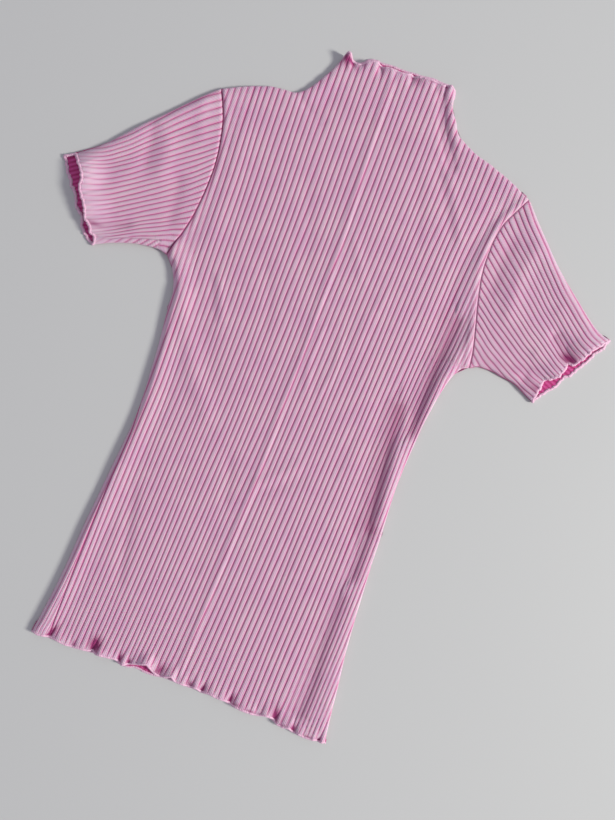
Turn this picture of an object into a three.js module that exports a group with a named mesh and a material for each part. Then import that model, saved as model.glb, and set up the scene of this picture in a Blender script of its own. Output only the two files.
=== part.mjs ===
// A short-sleeved rib-knit top with a grown-on funnel neck, lying flat and face up.
// Millimetres. x runs across the garment to the right as seen, y from the hem to the neck,
// z up from the surface that it lies on. The centre line of the garment is x = 0 in the tables.

import * as THREE from 'three';

// Cloth: a wall with ribs raised on its upper face over a plain inside.
const WALL = 1.4;            // wall between the inside and the bottom of a groove
const EDGE_WALL = 1.0;       // wall at a folded side edge
const RIB_RISE = 0.9;        // height of a rib above its grooves
const BACK_WALL = 1.5;       // layer that lies on the surface
const SEAM_GAP = 0.3;        // space between two pieces at a seam and between two layers
const REST_Z = BACK_WALL + SEAM_GAP;
const LOFT = 0.8;            // how far the upper layer floats above that, away from the edges
const SIDE_RISE = 1.9;       // the thick folded sides stand this much higher
const SIDE_CREST = 8;        // distance from the edge to the top of that rise
const SIDE_RUN = 34;         // distance from the edge at which the rise has gone
const UNDER_INSET = 1.8;     // the underside starts this far inside a side edge
const LIP_INSET = 0.4;
const LIP_Z = 0.8;

// Ribs of the front panel, numbered from its centre line.
const HALF_RIBS = 27;
const STRAIGHT_HALF = 23;    // ribs inside this run unbroken from the hem to the shoulder or neck
const BAND_RIBS = HALF_RIBS - STRAIGHT_HALF;
const CREST_START = 0.27;    // a rib is a groove line and a flat crest between these fractions
const CREST_END = 0.73;
const FULL_RIB_PITCH = 4.2;  // ribs squeezed closer than this are lower
const NO_RIB_PITCH = 1.6;
const SHOULDER_PITCH = 6.05;
const PINCH_PITCH = 5.9;

// Rows of the front and the back, from the hem up: where each one meets the two side edges.
// pitch is the rib spacing, and 0 means that the ribs share the width evenly.
// rise is the share of the way from the narrowest row to the shoulder and neck line, or, where
// below is given, the row lies that far below the line. roll is 1 where the edge is a folded side.
const rows = [
  { y0: 6, left: -156, y1: 0, right: 157, pitch: 0, roll: 1 },
  { y0: 11, left: -156, y1: 4, right: 156, pitch: 0, roll: 1 },
  { y0: 17, left: -154.5, y1: 10, right: 155, pitch: 0, roll: 1 },
  { y0: 26, left: -153, y1: 20, right: 153.5, pitch: 0, roll: 1 },
  { y0: 60, left: -148.5, y1: 55, right: 150, pitch: 0, roll: 1 },
  { y0: 120, left: -144, y1: 118, right: 144, pitch: 0, roll: 1 },
  { y0: 182, left: -138, y1: 180, right: 140.5, pitch: 0, roll: 1 },
  { y0: 240, left: -132, y1: 239, right: 138, pitch: 0, roll: 1 },
  { y0: 288, left: -133, y1: 288, right: 138, pitch: 0, roll: 1 },
  { y0: 330, left: -136, y1: 330, right: 141, pitch: 0, roll: 1 },
  { y0: 372, left: -139, y1: 370, right: 147, pitch: 0, roll: 1 },
  { y0: 391, left: -146, y1: 388, right: 152, pitch: 0, roll: 1 },
  { y0: 405, left: -157.5, y1: 402, right: 165, pitch: 0, roll: 0.2 },
  { y0: 434, left: -150, y1: 432, right: 159.5, pitch: 5.85, roll: 0 },
  { y0: 462, left: -145, y1: 459, right: 153, pitch: 5.85, roll: 0 },
  { y0: 490, left: -142.7, y1: 487, right: 146.5, pitch: PINCH_PITCH, roll: 0 },
  { y0: 516, left: -143.6, y1: 516, right: 144, pitch: PINCH_PITCH, rise: 0, roll: 0 },
  { y0: 541, left: -148, y1: 541, right: 146.5, rise: 0.4, roll: 0 },
  { y0: 561, left: -154, y1: 559, right: 153.5, rise: 0.72, roll: 0 },
  { y0: 572, left: -158.7, y1: 570, right: 159, below: 11, roll: 0.3 },
  { y0: 577.5, left: -161, y1: 577, right: 162.5, below: 4, roll: 1 },
  { y0: 580, left: -162.3, y1: 580, right: 164.3, below: 0, roll: 1 },
];
const UNDERARM_ROW = 12;
const PINCH_ROW = 16;

// The shoulder, funnel and neck line from the left shoulder tip to the right one.
const topLine = [
  { x: -162.3, y: 580 },
  { x: -141, y: 590.5 },
  { x: -126, y: 596 },
  { x: -112, y: 600 },
  { x: -94, y: 600.5 },
  { x: -87, y: 604 },
  { x: -78, y: 614.5 },
  { x: -70, y: 626.5 },
  { x: -59.5, y: 648 },
  { x: -57.5, y: 655 },
  { x: -42, y: 652 },
  { x: -33, y: 656.5 },
  { x: 10, y: 657.5 },
  { x: 50, y: 659 },
  { x: 58, y: 656.5 },
  { x: 60.5, y: 643 },
  { x: 68, y: 630.5 },
  { x: 77, y: 616 },
  { x: 100, y: 604.5 },
  { x: 116, y: 599.5 },
  { x: 140, y: 591 },
  { x: 156, y: 583 },
  { x: 164.3, y: 580 },
];
const NECK_LEFT = -57.5;
const NECK_RIGHT = 58;

// How far the hem bows up from the straight line between its corners.
const hemBow = [
  { x: -156, y: 0 },
  { x: -120, y: -1.8 },
  { x: -75, y: 0.2 },
  { x: 0, y: 3.4 },
  { x: 30, y: 3 },
  { x: 65, y: 1 },
  { x: 100, y: 0.6 },
  { x: 120, y: -1.6 },
  { x: 140, y: -2.2 },
  { x: 157, y: 0 },
];
const HEM_BOW_DEPTH = 70;    // the bow has died out this far above the hem

// The largest soft folds of the upper layer, as straight troughs and ridges.
const folds = [
  { name: 'trough under the right armhole', x0: 144, y0: 430, x1: 132, y1: 335, width: 6, lift: -1.7 },
  { name: 'trough along the right waist', x0: 111, y0: 345, x1: 125, y1: 235, width: 6, lift: -1.3 },
  { name: 'trough along the right hip', x0: 129, y0: 215, x1: 131, y1: 110, width: 5, lift: -1.3 },
  { name: 'valley inside the right armhole', x0: 146, y0: 548, x1: 129, y1: 455, width: 8, lift: -1.0 },
  { name: 'ridge inside the left armhole', x0: -128, y0: 540, x1: -122, y1: 440, width: 12, lift: 1.1 },
  { name: 'left waist swell', x0: -118, y0: 395, x1: -88, y1: 330, width: 14, lift: 1.2 },
  { name: 'right chest swell', x0: 40, y0: 460, x1: 95, y1: 400, width: 22, lift: 1.0 },
  { name: 'hollow below the left waist', x0: -112, y0: 320, x1: -100, y1: 250, width: 12, lift: -0.8 },
  { name: 'hollow at the neck base', x0: -60, y0: 600, x1: 20, y1: 590, width: 14, lift: -0.8 },
  { name: 'trough at the right of the neck', x0: 50, y0: 640, x1: 72, y1: 575, width: 6, lift: -0.9 },
];

// Lettuce edges: x is the middle of each wave of the overlocked edge, wide its half width,
// lift how high the upper layer rises there, and out how far the edge moves outwards.
const hemWaves = [
  { x: -146, wide: 9, lift: 1.6, out: 0.8 },
  { x: -122, wide: 10, lift: 2.4, out: -1.2 },
  { x: -98, wide: 8, lift: 1.4, out: 1.0 },
  { x: -76, wide: 11, lift: 2.8, out: -1.5 },
  { x: -50, wide: 9, lift: 1.6, out: 1.2 },
  { x: -28, wide: 8, lift: 2.2, out: -1.4 },
  { x: -6, wide: 10, lift: 1.8, out: 1.0 },
  { x: 22, wide: 11, lift: 2.6, out: -1.2 },
  { x: 48, wide: 9, lift: 1.4, out: 0.9 },
  { x: 72, wide: 10, lift: 3.0, out: -1.8 },
  { x: 98, wide: 9, lift: 1.8, out: 0.8 },
  { x: 121, wide: 8, lift: 2.2, out: -0.8 },
  { x: 142, wide: 8, lift: 1.6, out: 0.8 },
];
const neckWaves = [
  { x: -54, wide: 5, lift: 3.2, out: 2.6 },
  { x: -42, wide: 6, lift: 1.0, out: -0.6 },
  { x: -28, wide: 7, lift: 2.4, out: 1.2 },
  { x: -3, wide: 11, lift: 1.6, out: 0.4 },
  { x: 24, wide: 9, lift: 2.4, out: 0.8 },
  { x: 50, wide: 6, lift: 3.0, out: 1.0 },
];
const EDGE_WAVE_DEPTH = 20;  // a wave of the hem or neck has died out this far from the edge
const BACK_NECK_SHORT = 1.2; // the back layer ends this far inside the front's neck edge

// Sleeves. Each row of a table is a section from the armhole to the cuff: the top fold, the
// underarm fold of the upper layer, and how far the layer below reaches on towards the cuff.
const SLEEVE_RIBS = 22;
const CUFF_RIB_FADE = 18;    // the ribs flatten out within this distance of the cuff
const sleeves = [
  {
    name: 'sleeve_left_of_view',
    side: -1,
    ribFade: 0.45,
    sections: [
      { along: 0.16, topX: -182, topY: 248.5, lowX: -175, lowY: 92.8, under: 0 },
      { along: 0.36, topX: -204, topY: 225.5, lowX: -191, lowY: 90.3, under: 0 },
      { along: 0.56, topX: -227, topY: 202.5, lowX: -204, lowY: 86.6, under: 1 },
      { along: 0.76, topX: -250, topY: 177, lowX: -216.5, lowY: 82, under: 4 },
      { along: 0.9, topX: -266, topY: 163.7, lowX: -224.5, lowY: 78.3, under: 7 },
      { along: 1, topX: -277, topY: 155.5, lowX: -230.5, lowY: 75.5, under: 9.5 },
    ],
    cuffWaves: [
      { at: 0.12, wide: 0.09, lift: 2.6, out: 0.8 },
      { at: 0.38, wide: 0.12, lift: 2.2, out: 3.6 },
      { at: 0.66, wide: 0.11, lift: 2.8, out: 3.8 },
      { at: 0.88, wide: 0.07, lift: 2.0, out: 0.4 },
    ],
    folds: [
      { name: 'upper dent', x0: -218, y0: 205, x1: -206, y1: 180, width: 9, lift: -0.9 },
      { name: 'middle swell', x0: -205, y0: 175, x1: -232, y1: 130, width: 13, lift: 1.2 },
      { name: 'hollow by the underarm', x0: -178, y0: 150, x1: -196, y1: 118, width: 12, lift: -0.8 },
    ],
  },
  {
    name: 'sleeve_right_of_view',
    side: 1,
    ribFade: 0.9,
    sections: [
      { along: 0.16, topX: 184, topY: 244.8, lowX: 179, lowY: 93, under: 0 },
      { along: 0.36, topX: 208, topY: 219.6, lowX: 195, lowY: 92, under: 0 },
      { along: 0.56, topX: 233, topY: 196.7, lowX: 208, lowY: 90, under: 0 },
      { along: 0.76, topX: 259, topY: 176.5, lowX: 221, lowY: 84.5, under: 1 },
      { along: 0.9, topX: 276, topY: 165, lowX: 229.5, lowY: 80, under: 2 },
      { along: 1, topX: 286.5, topY: 161, lowX: 235.5, lowY: 77, under: 3.5 },
    ],
    cuffWaves: [
      { at: 0.1, wide: 0.07, lift: 1.8, out: 1.0 },
      { at: 0.3, wide: 0.08, lift: 1.4, out: 0.2 },
      { at: 0.5, wide: 0.06, lift: 3.0, out: -3.6 },
      { at: 0.62, wide: 0.05, lift: 1.2, out: -0.6 },
      { at: 0.77, wide: 0.09, lift: 2.8, out: -5.6 },
    ],
    folds: [
      { name: 'dent below the shoulder', x0: 168, y0: 214, x1: 184, y1: 180, width: 9, lift: -1.1 },
      { name: 'swell beside it', x0: 190, y0: 222, x1: 214, y1: 180, width: 12, lift: 1.1 },
      { name: 'pocket at the cuff', x0: 226, y0: 150, x1: 256, y1: 131, width: 6, lift: -1.4 },
      { name: 'pocket at the cuff underarm', x0: 205, y0: 108, x1: 230, y1: 97, width: 5, lift: -1.0 },
    ],
  },
];
const UNDER_TAPER = 5;       // the lower layer reaches less over the last fifth of a section
const SLEEVE_Y = 314;        // the sleeve tables count y from the waist, this far above the hem
const SLEEVE_CREST = 6;
const SLEEVE_SIDE_RISE = 1.5;
const SLEEVE_RUN = 22;
const ARMHOLE_CLEARANCE = 0.42;
const CUFF_WAVE_DEPTH = 16;
const SLEEVE_BULGE = 6;      // how far the middle of a sleeve section bows towards the cuff
const SLEEVE_OPENING = 0.2;  // share of the length over which the folded sides rise to full height
const FOLD_ROUNDING = 2;     // distance over which the wall thins towards a folded edge
const RIB_ROUNDING = 1.5;    // distance over which the ribs fade towards a folded edge
const CUFF_CORNER = 4;       // the cuff's waves fade out this close to its folds

const KNIT_COLOUR = 0xcda5c3;

function mix(a, b, t) {
  return a + (b - a) * t;
}

function smoothStep(t) {
  const k = Math.min(1, Math.max(0, t));
  return k * k * (3 - 2 * k);
}

// Value of a table's column at a place, by straight lines between its rows.
function lookUp(table, key, column, place) {
  let next = table.findIndex((row) => row[key] >= place);
  if (next < 0) next = table.length - 1;
  if (next === 0) next = 1;
  const from = table[next - 1];
  const to = table[next];
  const t = Math.min(1, Math.max(0, (place - from[key]) / (to[key] - from[key])));
  return mix(from[column], to[column], t);
}

function distanceToSegment(x, y, x0, y0, x1, y1) {
  const dx = x1 - x0;
  const dy = y1 - y0;
  const t = Math.min(1, Math.max(0, ((x - x0) * dx + (y - y0) * dy) / (dx * dx + dy * dy)));
  return Math.hypot(x - x0 - dx * t, y - y0 - dy * t);
}

function foldLift(list, x, y) {
  let lift = 0;
  for (const fold of list) {
    const distance = distanceToSegment(x, y, fold.x0, fold.y0, fold.x1, fold.y1);
    lift += fold.lift * Math.exp(-((distance / fold.width) ** 2));
  }
  return lift;
}

// Sum of the waves of one edge at a place along it.
function waveSum(waves, key, column, place) {
  let sum = 0;
  for (const wave of waves) {
    sum += wave[column] * Math.exp(-(((place - wave[key]) / wave.wide) ** 2));
  }
  return sum;
}

// Height that the folded side adds at a distance from the edge.
function sideRise(distance, rise, crest, run) {
  return rise * smoothStep(distance / crest) * (1 - smoothStep((distance - crest) / (run - crest)));
}

// A closed body made from named points: each point is written once and faces refer to it.
class Body {
  constructor() {
    this.points = [];
    this.faces = [];
  }

  point(x, y, z) {
    this.points.push(x, y, z);
    return this.points.length / 3 - 1;
  }

  // A grid of point numbers, rows along and columns across, facing up when flip is false.
  grid(net, flip) {
    for (let i = 0; i + 1 < net.length; i += 1) {
      for (let j = 0; j + 1 < net[i].length; j += 1) {
        const a = net[i][j];
        const b = net[i][j + 1];
        const c = net[i + 1][j + 1];
        const d = net[i + 1][j];
        if (flip) this.faces.push(a, c, b, a, d, c);
        else this.faces.push(a, b, c, a, c, d);
      }
    }
  }

  // A strip between two rims that run the same way; each entry has a point and its share of
  // the way along, and the two rims may have different numbers of points.
  strip(lower, upper) {
    let i = 0;
    let j = 0;
    while (i < lower.length - 1 || j < upper.length - 1) {
      const nextLower = i < lower.length - 1 ? lower[i + 1].at : Infinity;
      const nextUpper = j < upper.length - 1 ? upper[j + 1].at : Infinity;
      if (nextLower <= nextUpper) {
        this.faces.push(lower[i].point, lower[i + 1].point, upper[j].point);
        i += 1;
      } else {
        this.faces.push(lower[i].point, upper[j + 1].point, upper[j].point);
        j += 1;
      }
    }
  }

  mesh(name) {
    const geometry = new THREE.BufferGeometry();
    geometry.setAttribute('position', new THREE.Float32BufferAttribute(this.points, 3));
    geometry.setIndex(this.faces);
    geometry.computeVertexNormals();
    const knit = new THREE.MeshStandardMaterial({
      color: KNIT_COLOUR,
      roughness: 0.85,
      metalness: 0,
    });
    const mesh = new THREE.Mesh(geometry, knit);
    mesh.name = name;
    return mesh;
  }
}

// Columns of a ribbed layer: each rib has a groove line and the two edges of its crest.
function ribColumns(first, last) {
  const columns = [];
  for (let rib = first; rib < last; rib += 1) {
    columns.push({ n: rib, crest: 0 });
    columns.push({ n: rib + CREST_START, crest: 1 });
    columns.push({ n: rib + CREST_END, crest: 1 });
  }
  columns.push({ n: last, crest: 0 });
  return columns;
}

// Plan of the body: where rib n of a row lies.
function topPoint(n) {
  if (Math.abs(n) <= STRAIGHT_HALF) {
    const x = n * SHOULDER_PITCH;
    return { x, y: lookUp(topLine, 'x', 'y', x) };
  }
  const last = rows[rows.length - 1];
  const edge = n < 0 ? last.left : last.right;
  const share = (Math.abs(n) - STRAIGHT_HALF) / BAND_RIBS;
  const x = mix(Math.sign(n) * STRAIGHT_HALF * SHOULDER_PITCH, edge, share);
  return { x, y: lookUp(topLine, 'x', 'y', x) };
}

// Rise of the bowed hem at a place, which fades out higher up.
function bowRise(place) {
  return lookUp(hemBow, 'x', 'y', place.x) * (1 - smoothStep(place.y / HEM_BOW_DEPTH));
}

function edgePoint(row, n) {
  return n < 0 ? { x: row.left, y: row.y0 } : { x: row.right, y: row.y1 };
}

function straightRibPoint(index, n) {
  const row = rows[index];
  if (index <= PINCH_ROW) {
    const share = (n + HALF_RIBS) / (2 * HALF_RIBS);
    const x = row.pitch ? n * row.pitch : mix(row.left, row.right, share);
    return { x, y: mix(row.y0, row.y1, share) };
  }
  const low = straightRibPoint(PINCH_ROW, n);
  const high = topPoint(n);
  let rise = row.rise;
  if (row.below !== undefined) rise = 1 - row.below / (high.y - low.y);
  return { x: mix(low.x, high.x, rise), y: mix(low.y, high.y, rise) };
}

function straightPlanPoint(index, n) {
  if (Math.abs(n) <= STRAIGHT_HALF) return straightRibPoint(index, n);
  if (index === rows.length - 1) return topPoint(n);
  const inner = straightRibPoint(index, Math.sign(n) * STRAIGHT_HALF);
  const outer = edgePoint(rows[index], n);
  const share = (Math.abs(n) - STRAIGHT_HALF) / BAND_RIBS;
  return { x: mix(inner.x, outer.x, share), y: mix(inner.y, outer.y, share) };
}

function planPoint(index, n) {
  const place = straightPlanPoint(index, n);
  return { x: place.x, y: place.y + bowRise(place) };
}

// Distance from a place to the folded shoulder and funnel line, and to the side edge.
function foldedEdgeDistance(index, n, place) {
  let nearest = Infinity;
  for (let k = 0; k + 1 < topLine.length; k += 1) {
    const a = topLine[k];
    const b = topLine[k + 1];
    if (a.x >= NECK_LEFT && b.x <= NECK_RIGHT) continue;
    nearest = Math.min(nearest, distanceToSegment(place.x, place.y, a.x, a.y, b.x, b.y));
  }
  const edge = edgePoint(rows[index], n);
  const toSide = Math.hypot(place.x - edge.x, place.y - edge.y);
  const side = toSide + (1 - rows[index].roll) * SIDE_RUN;
  return Math.min(nearest, side);
}

// Lettuce wave of the hem and the neck at a place: how much of it is left, and its size.
function bodyWave(index, n, place) {
  const hemDistance = place.y - planPoint(0, n).y;
  if (hemDistance < EDGE_WAVE_DEPTH) {
    const left = 1 - smoothStep(hemDistance / EDGE_WAVE_DEPTH);
    return {
      lift: left * waveSum(hemWaves, 'x', 'lift', place.x),
      out: -left * waveSum(hemWaves, 'x', 'out', place.x),
    };
  }
  const top = topPoint(n);
  const neckDistance = top.y - place.y;
  if (top.x >= NECK_LEFT && top.x <= NECK_RIGHT && neckDistance < EDGE_WAVE_DEPTH) {
    const left = 1 - smoothStep(neckDistance / EDGE_WAVE_DEPTH);
    return {
      lift: left * waveSum(neckWaves, 'x', 'lift', place.x),
      out: left * waveSum(neckWaves, 'x', 'out', place.x),
    };
  }
  return { lift: 0, out: 0 };
}

// Inside height of the front panel above the surface, at a groove line.
function frontInsideZ(index, n, place) {
  const distance = foldedEdgeDistance(index, n, place);
  const flat = smoothStep(distance / SIDE_CREST);
  const side = sideRise(distance, SIDE_RISE, SIDE_CREST, SIDE_RUN);
  const soft = flat * (LOFT + foldLift(folds, place.x, place.y));
  const wave = flat * bodyWave(index, n, place).lift;
  return REST_Z + Math.max(0, soft + side + wave);
}

function makeFront() {
  const body = new Body();
  const columns = ribColumns(-HALF_RIBS, HALF_RIBS);
  const inside = [];
  const insideZ = [];
  rows.forEach((row, index) => {
    const points = [];
    const heights = [];
    for (let n = -HALF_RIBS; n <= HALF_RIBS; n += 1) {
      const place = planPoint(index, n);
      const z = frontInsideZ(index, n, place);
      heights.push(z);
      points.push(body.point(place.x, place.y + bodyWave(index, n, place).out, z));
    }
    inside.push(points);
    insideZ.push(heights);
  });

  const outside = rows.map((row, index) => columns.map((column) => {
    const rib = Math.min(HALF_RIBS - 1, Math.floor(column.n));
    const from = planPoint(index, rib);
    const to = planPoint(index, rib + 1);
    const share = column.n - rib;
    const place = { x: mix(from.x, to.x, share), y: mix(from.y, to.y, share) };
    const out = mix(bodyWave(index, rib, from).out, bodyWave(index, rib + 1, to).out, share);
    const heights = insideZ[index];
    const base = mix(heights[rib + HALF_RIBS], heights[rib + 1 + HALF_RIBS], share);
    const pitch = Math.abs(to.x - from.x);
    const room = smoothStep((pitch - NO_RIB_PITCH) / (FULL_RIB_PITCH - NO_RIB_PITCH));
    const distance = foldedEdgeDistance(index, column.n, place);
    const wall = mix(EDGE_WALL, WALL, smoothStep(distance / FOLD_ROUNDING));
    const rise = column.crest * RIB_RISE * room * smoothStep(distance / RIB_ROUNDING);
    return body.point(place.x, place.y + out, base + wall + rise);
  }));

  body.grid(outside, false);
  body.grid(inside, true);
  const shareOf = (n) => (n + HALF_RIBS) / (2 * HALF_RIBS);
  const across = (net, index, list) => list.map((n, j) => ({ point: net[index][j], at: shareOf(n) }));
  const outerN = columns.map((column) => column.n);
  const innerN = inside[0].map((point, j) => j - HALF_RIBS);
  const last = rows.length - 1;
  body.strip(across(inside, 0, innerN), across(outside, 0, outerN));
  body.strip(across(outside, last, outerN), across(inside, last, innerN));
  const up = (net, j) => net.map((points, i) => ({ point: points[j], at: i }));
  body.strip(up(outside, 0), up(inside, 0));
  body.strip(up(inside, innerN.length - 1), up(outside, outerN.length - 1));
  return body.mesh('front_panel');
}

// Columns of the plain back, closer together near the sides.
const backColumns = [-27, -26, -24, -21, -17, -13, -9, -4.5, 0, 4.5, 9, 13, 17, 21, 24, 26, 27];

function makeBack() {
  const body = new Body();
  const last = rows.length - 1;
  const level = (inset, z) => rows.map((row, index) => backColumns.map((n) => {
    const place = planPoint(index, n);
    const top = topPoint(n);
    let x = place.x;
    let y = place.y;
    if (Math.abs(n) === HALF_RIBS) x -= Math.sign(n) * inset * row.roll;
    const isNeck = top.x >= NECK_LEFT && top.x <= NECK_RIGHT;
    if (index === last) y -= isNeck ? BACK_NECK_SHORT : inset;
    return body.point(x, y, z);
  }));
  const under = level(UNDER_INSET, 0);
  const lip = level(LIP_INSET, LIP_Z);
  const upper = level(0, BACK_WALL);
  body.grid(under, true);
  body.grid(upper, false);
  const ring = (net) => {
    const points = [...net[0]];
    for (let i = 1; i <= last; i += 1) points.push(net[i][backColumns.length - 1]);
    for (let j = backColumns.length - 2; j >= 0; j -= 1) points.push(net[last][j]);
    for (let i = last - 1; i >= 0; i -= 1) points.push(net[i][0]);
    return points.map((point, k) => ({ point, at: k }));
  };
  body.strip(ring(under), ring(lip));
  body.strip(ring(lip), ring(upper));
  return body.mesh('back_panel');
}

// The armhole seam on one side, from the shoulder tip down to the underarm.
function armholeLine(side) {
  const line = [];
  for (let index = rows.length - 1; index >= UNDERARM_ROW; index -= 1) {
    const edge = edgePoint(rows[index], side);
    line.push({ x: edge.x + side * ARMHOLE_CLEARANCE, y: edge.y });
  }
  let run = 0;
  line.forEach((place, k) => {
    if (k > 0) run += Math.hypot(place.x - line[k - 1].x, place.y - line[k - 1].y);
    place.run = run;
  });
  line.forEach((place) => { place.at = place.run / run; });
  return line;
}

// Columns of the flat lower layer of a sleeve, as shares from the top fold to the underarm fold.
const lowerShares = [1, 0.85, 0.68, 0.5, 0.32, 0.15, 0];

// A sleeve is one cut piece sewn into a tube: its upper layer is ribbed, its lower one is flat.
function makeSleeve(sleeve) {
  const body = new Body();
  const seam = armholeLine(sleeve.side);
  const stations = [{ along: 0 }, ...sleeve.sections];
  const cuff = sleeve.sections[sleeve.sections.length - 1];
  const cuffAxis = new THREE.Vector2(cuff.topX - cuff.lowX, cuff.topY - cuff.lowY).normalize();
  const outward = new THREE.Vector2(cuffAxis.y, -cuffAxis.x);
  if (outward.x * sleeve.side < 0) outward.negate();

  // Plan point of a layer: share runs from the top fold, 0, to the underarm fold, 1.
  const plan = (index, share, layerBelow) => {
    if (index === 0) {
      return { x: lookUp(seam, 'at', 'x', share), y: lookUp(seam, 'at', 'y', share) };
    }
    const section = stations[index];
    let x = mix(section.topX, section.lowX, share);
    let y = mix(section.topY, section.lowY, share) + SLEEVE_Y;
    const middleness = 16 * section.along * (1 - section.along) * share * (1 - share);
    x += outward.x * middleness * SLEEVE_BULGE;
    const reach = layerBelow ? section.under * smoothStep((1 - share) * UNDER_TAPER) : 0;
    x += outward.x * reach;
    y += outward.y * reach;
    return { x, y };
  };
  const foldDistance = (index, share) => {
    const a = plan(index, 0, false);
    const b = plan(index, 1, false);
    return Math.min(share, 1 - share) * Math.hypot(a.x - b.x, a.y - b.y);
  };
  const cuffWave = (index, share) => {
    const place = plan(index, share, false);
    const end = plan(stations.length - 1, share, false);
    const distance = Math.hypot(place.x - end.x, place.y - end.y);
    const left = 1 - smoothStep(distance / CUFF_WAVE_DEPTH);
    const flat = smoothStep(foldDistance(index, share) / CUFF_CORNER);
    return {
      distance,
      lift: flat * left * waveSum(sleeve.cuffWaves, 'at', 'lift', share),
      out: flat * left * waveSum(sleeve.cuffWaves, 'at', 'out', share),
    };
  };
  const insideZ = (index, share) => {
    const place = plan(index, share, false);
    const distance = foldDistance(index, share);
    const opened = smoothStep(stations[index].along / SLEEVE_OPENING);
    const side = opened * sideRise(distance, SLEEVE_SIDE_RISE, SLEEVE_CREST, SLEEVE_RUN);
    const flat = smoothStep(distance / SLEEVE_CREST);
    const soft = flat * (LOFT + foldLift(sleeve.folds, place.x, place.y - SLEEVE_Y));
    return REST_Z + Math.max(0, soft + side + cuffWave(index, share).lift);
  };
  const shiftOut = (place, out) => ({ x: place.x + outward.x * out, y: place.y + outward.y * out });

  const ribShares = ribColumns(0, SLEEVE_RIBS).map((column) => (
    { share: column.n / SLEEVE_RIBS, crest: column.crest }
  ));
  const grooveShares = ribShares.filter((column) => column.crest === 0).map((column) => column.share);
  const inset = (index) => {
    const a = plan(index, 0, false);
    const b = plan(index, 1, false);
    return UNDER_INSET / Math.hypot(a.x - b.x, a.y - b.y);
  };
  const squeeze = (share, margin) => mix(margin, 1 - margin, share);

  // One closed loop of points a section: over the top from the top fold, then back below.
  const outerLoops = stations.map((station, index) => {
    const loop = [];
    for (const column of ribShares) {
      const nearest = Math.floor(Math.min(SLEEVE_RIBS - 1, column.share * SLEEVE_RIBS));
      const t = column.share * SLEEVE_RIBS - nearest;
      const low = insideZ(index, nearest / SLEEVE_RIBS);
      const high = insideZ(index, (nearest + 1) / SLEEVE_RIBS);
      const wave = cuffWave(index, column.share);
      const place = shiftOut(plan(index, column.share, false), wave.out);
      const fade = mix(sleeve.ribFade, 1, smoothStep(wave.distance / CUFF_RIB_FADE));
      const distance = foldDistance(index, column.share);
      const rise = column.crest * RIB_RISE * fade * smoothStep(distance / RIB_ROUNDING);
      const wall = mix(EDGE_WALL, WALL, smoothStep(distance / FOLD_ROUNDING));
      loop.push({ ...place, z: mix(low, high, t) + wall + rise, at: column.share });
    }
    loop.push({ ...plan(index, 1, true), z: LIP_Z, at: 1.1 });
    for (const share of lowerShares) {
      const place = plan(index, squeeze(share, inset(index)), true);
      loop.push({ ...place, z: 0, at: 1.2 + (1 - share) });
    }
    loop.push({ ...plan(index, 0, true), z: LIP_Z, at: 2.3 });
    return loop;
  });
  const innerLoops = stations.map((station, index) => {
    const loop = [];
    const margin = inset(index);
    for (const share of grooveShares) {
      const inner = squeeze(share, margin);
      const place = shiftOut(plan(index, inner, false), cuffWave(index, share).out);
      loop.push({ ...place, z: insideZ(index, share), at: share });
    }
    for (const share of lowerShares) {
      const place = plan(index, squeeze(share, margin), true);
      loop.push({ ...place, z: BACK_WALL, at: 1.2 + (1 - share) });
    }
    return loop;
  });

  const number = (loops) => loops.map((loop) => loop.map((place) => (
    { point: body.point(place.x, place.y, place.z), at: place.at }
  )));
  const outer = number(outerLoops);
  const inner = number(innerLoops);
  const closed = (loop) => [...loop, { point: loop[0].point, at: 3 }];
  const net = (loops) => loops.map((loop) => closed(loop).map((entry) => entry.point));
  const mirrored = sleeve.side > 0;
  body.grid(net(outer), !mirrored);
  body.grid(net(inner), mirrored);
  const end = stations.length - 1;
  const rim = (first, second) => {
    if (mirrored) body.strip(closed(second), closed(first));
    else body.strip(closed(first), closed(second));
  };
  rim(outer[0], inner[0]);
  rim(inner[end], outer[end]);
  return body.mesh(sleeve.name);
}

const garment = new THREE.Group();
garment.add(makeFront());
garment.add(makeBack());
for (const sleeve of sleeves) garment.add(makeSleeve(sleeve));

// The origin is the middle of the garment's box, on the surface that it lies on.
const box = new THREE.Box3().setFromObject(garment);
const middle = box.getCenter(new THREE.Vector3());
garment.position.set(-middle.x, -middle.y, -box.min.z);

export default garment;
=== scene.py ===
# A short-sleeved rib-knit top with a funnel neck, lying flat and face up on a pale table.
# The tables are in millimetres on the garment: x from its centre line to the right as seen,
# y up from the hem's right corner to the neck. Pieces are made in metres in the part's frame.

import math

import bpy
import numpy as np
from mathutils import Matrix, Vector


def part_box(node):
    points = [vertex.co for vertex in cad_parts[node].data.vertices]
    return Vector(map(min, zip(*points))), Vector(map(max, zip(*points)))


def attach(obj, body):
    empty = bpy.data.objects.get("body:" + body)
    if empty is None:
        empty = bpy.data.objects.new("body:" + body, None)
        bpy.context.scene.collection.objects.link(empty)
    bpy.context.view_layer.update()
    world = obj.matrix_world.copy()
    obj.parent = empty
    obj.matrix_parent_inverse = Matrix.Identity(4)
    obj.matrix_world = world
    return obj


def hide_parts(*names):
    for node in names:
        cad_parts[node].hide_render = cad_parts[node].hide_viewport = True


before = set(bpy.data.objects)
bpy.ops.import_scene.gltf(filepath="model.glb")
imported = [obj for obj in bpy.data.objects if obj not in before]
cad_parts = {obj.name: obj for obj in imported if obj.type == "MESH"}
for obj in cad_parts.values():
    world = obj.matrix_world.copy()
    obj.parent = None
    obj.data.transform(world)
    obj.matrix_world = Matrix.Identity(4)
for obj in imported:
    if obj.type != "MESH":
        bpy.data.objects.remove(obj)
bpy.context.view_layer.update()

MM = 0.001
RIGHT_UNDERARM_X = 165.0
SHOULDER_TIP_Y = 580.0
ORIGIN_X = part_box("back_panel")[1][0] / MM - RIGHT_UNDERARM_X   # the centre line
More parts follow.
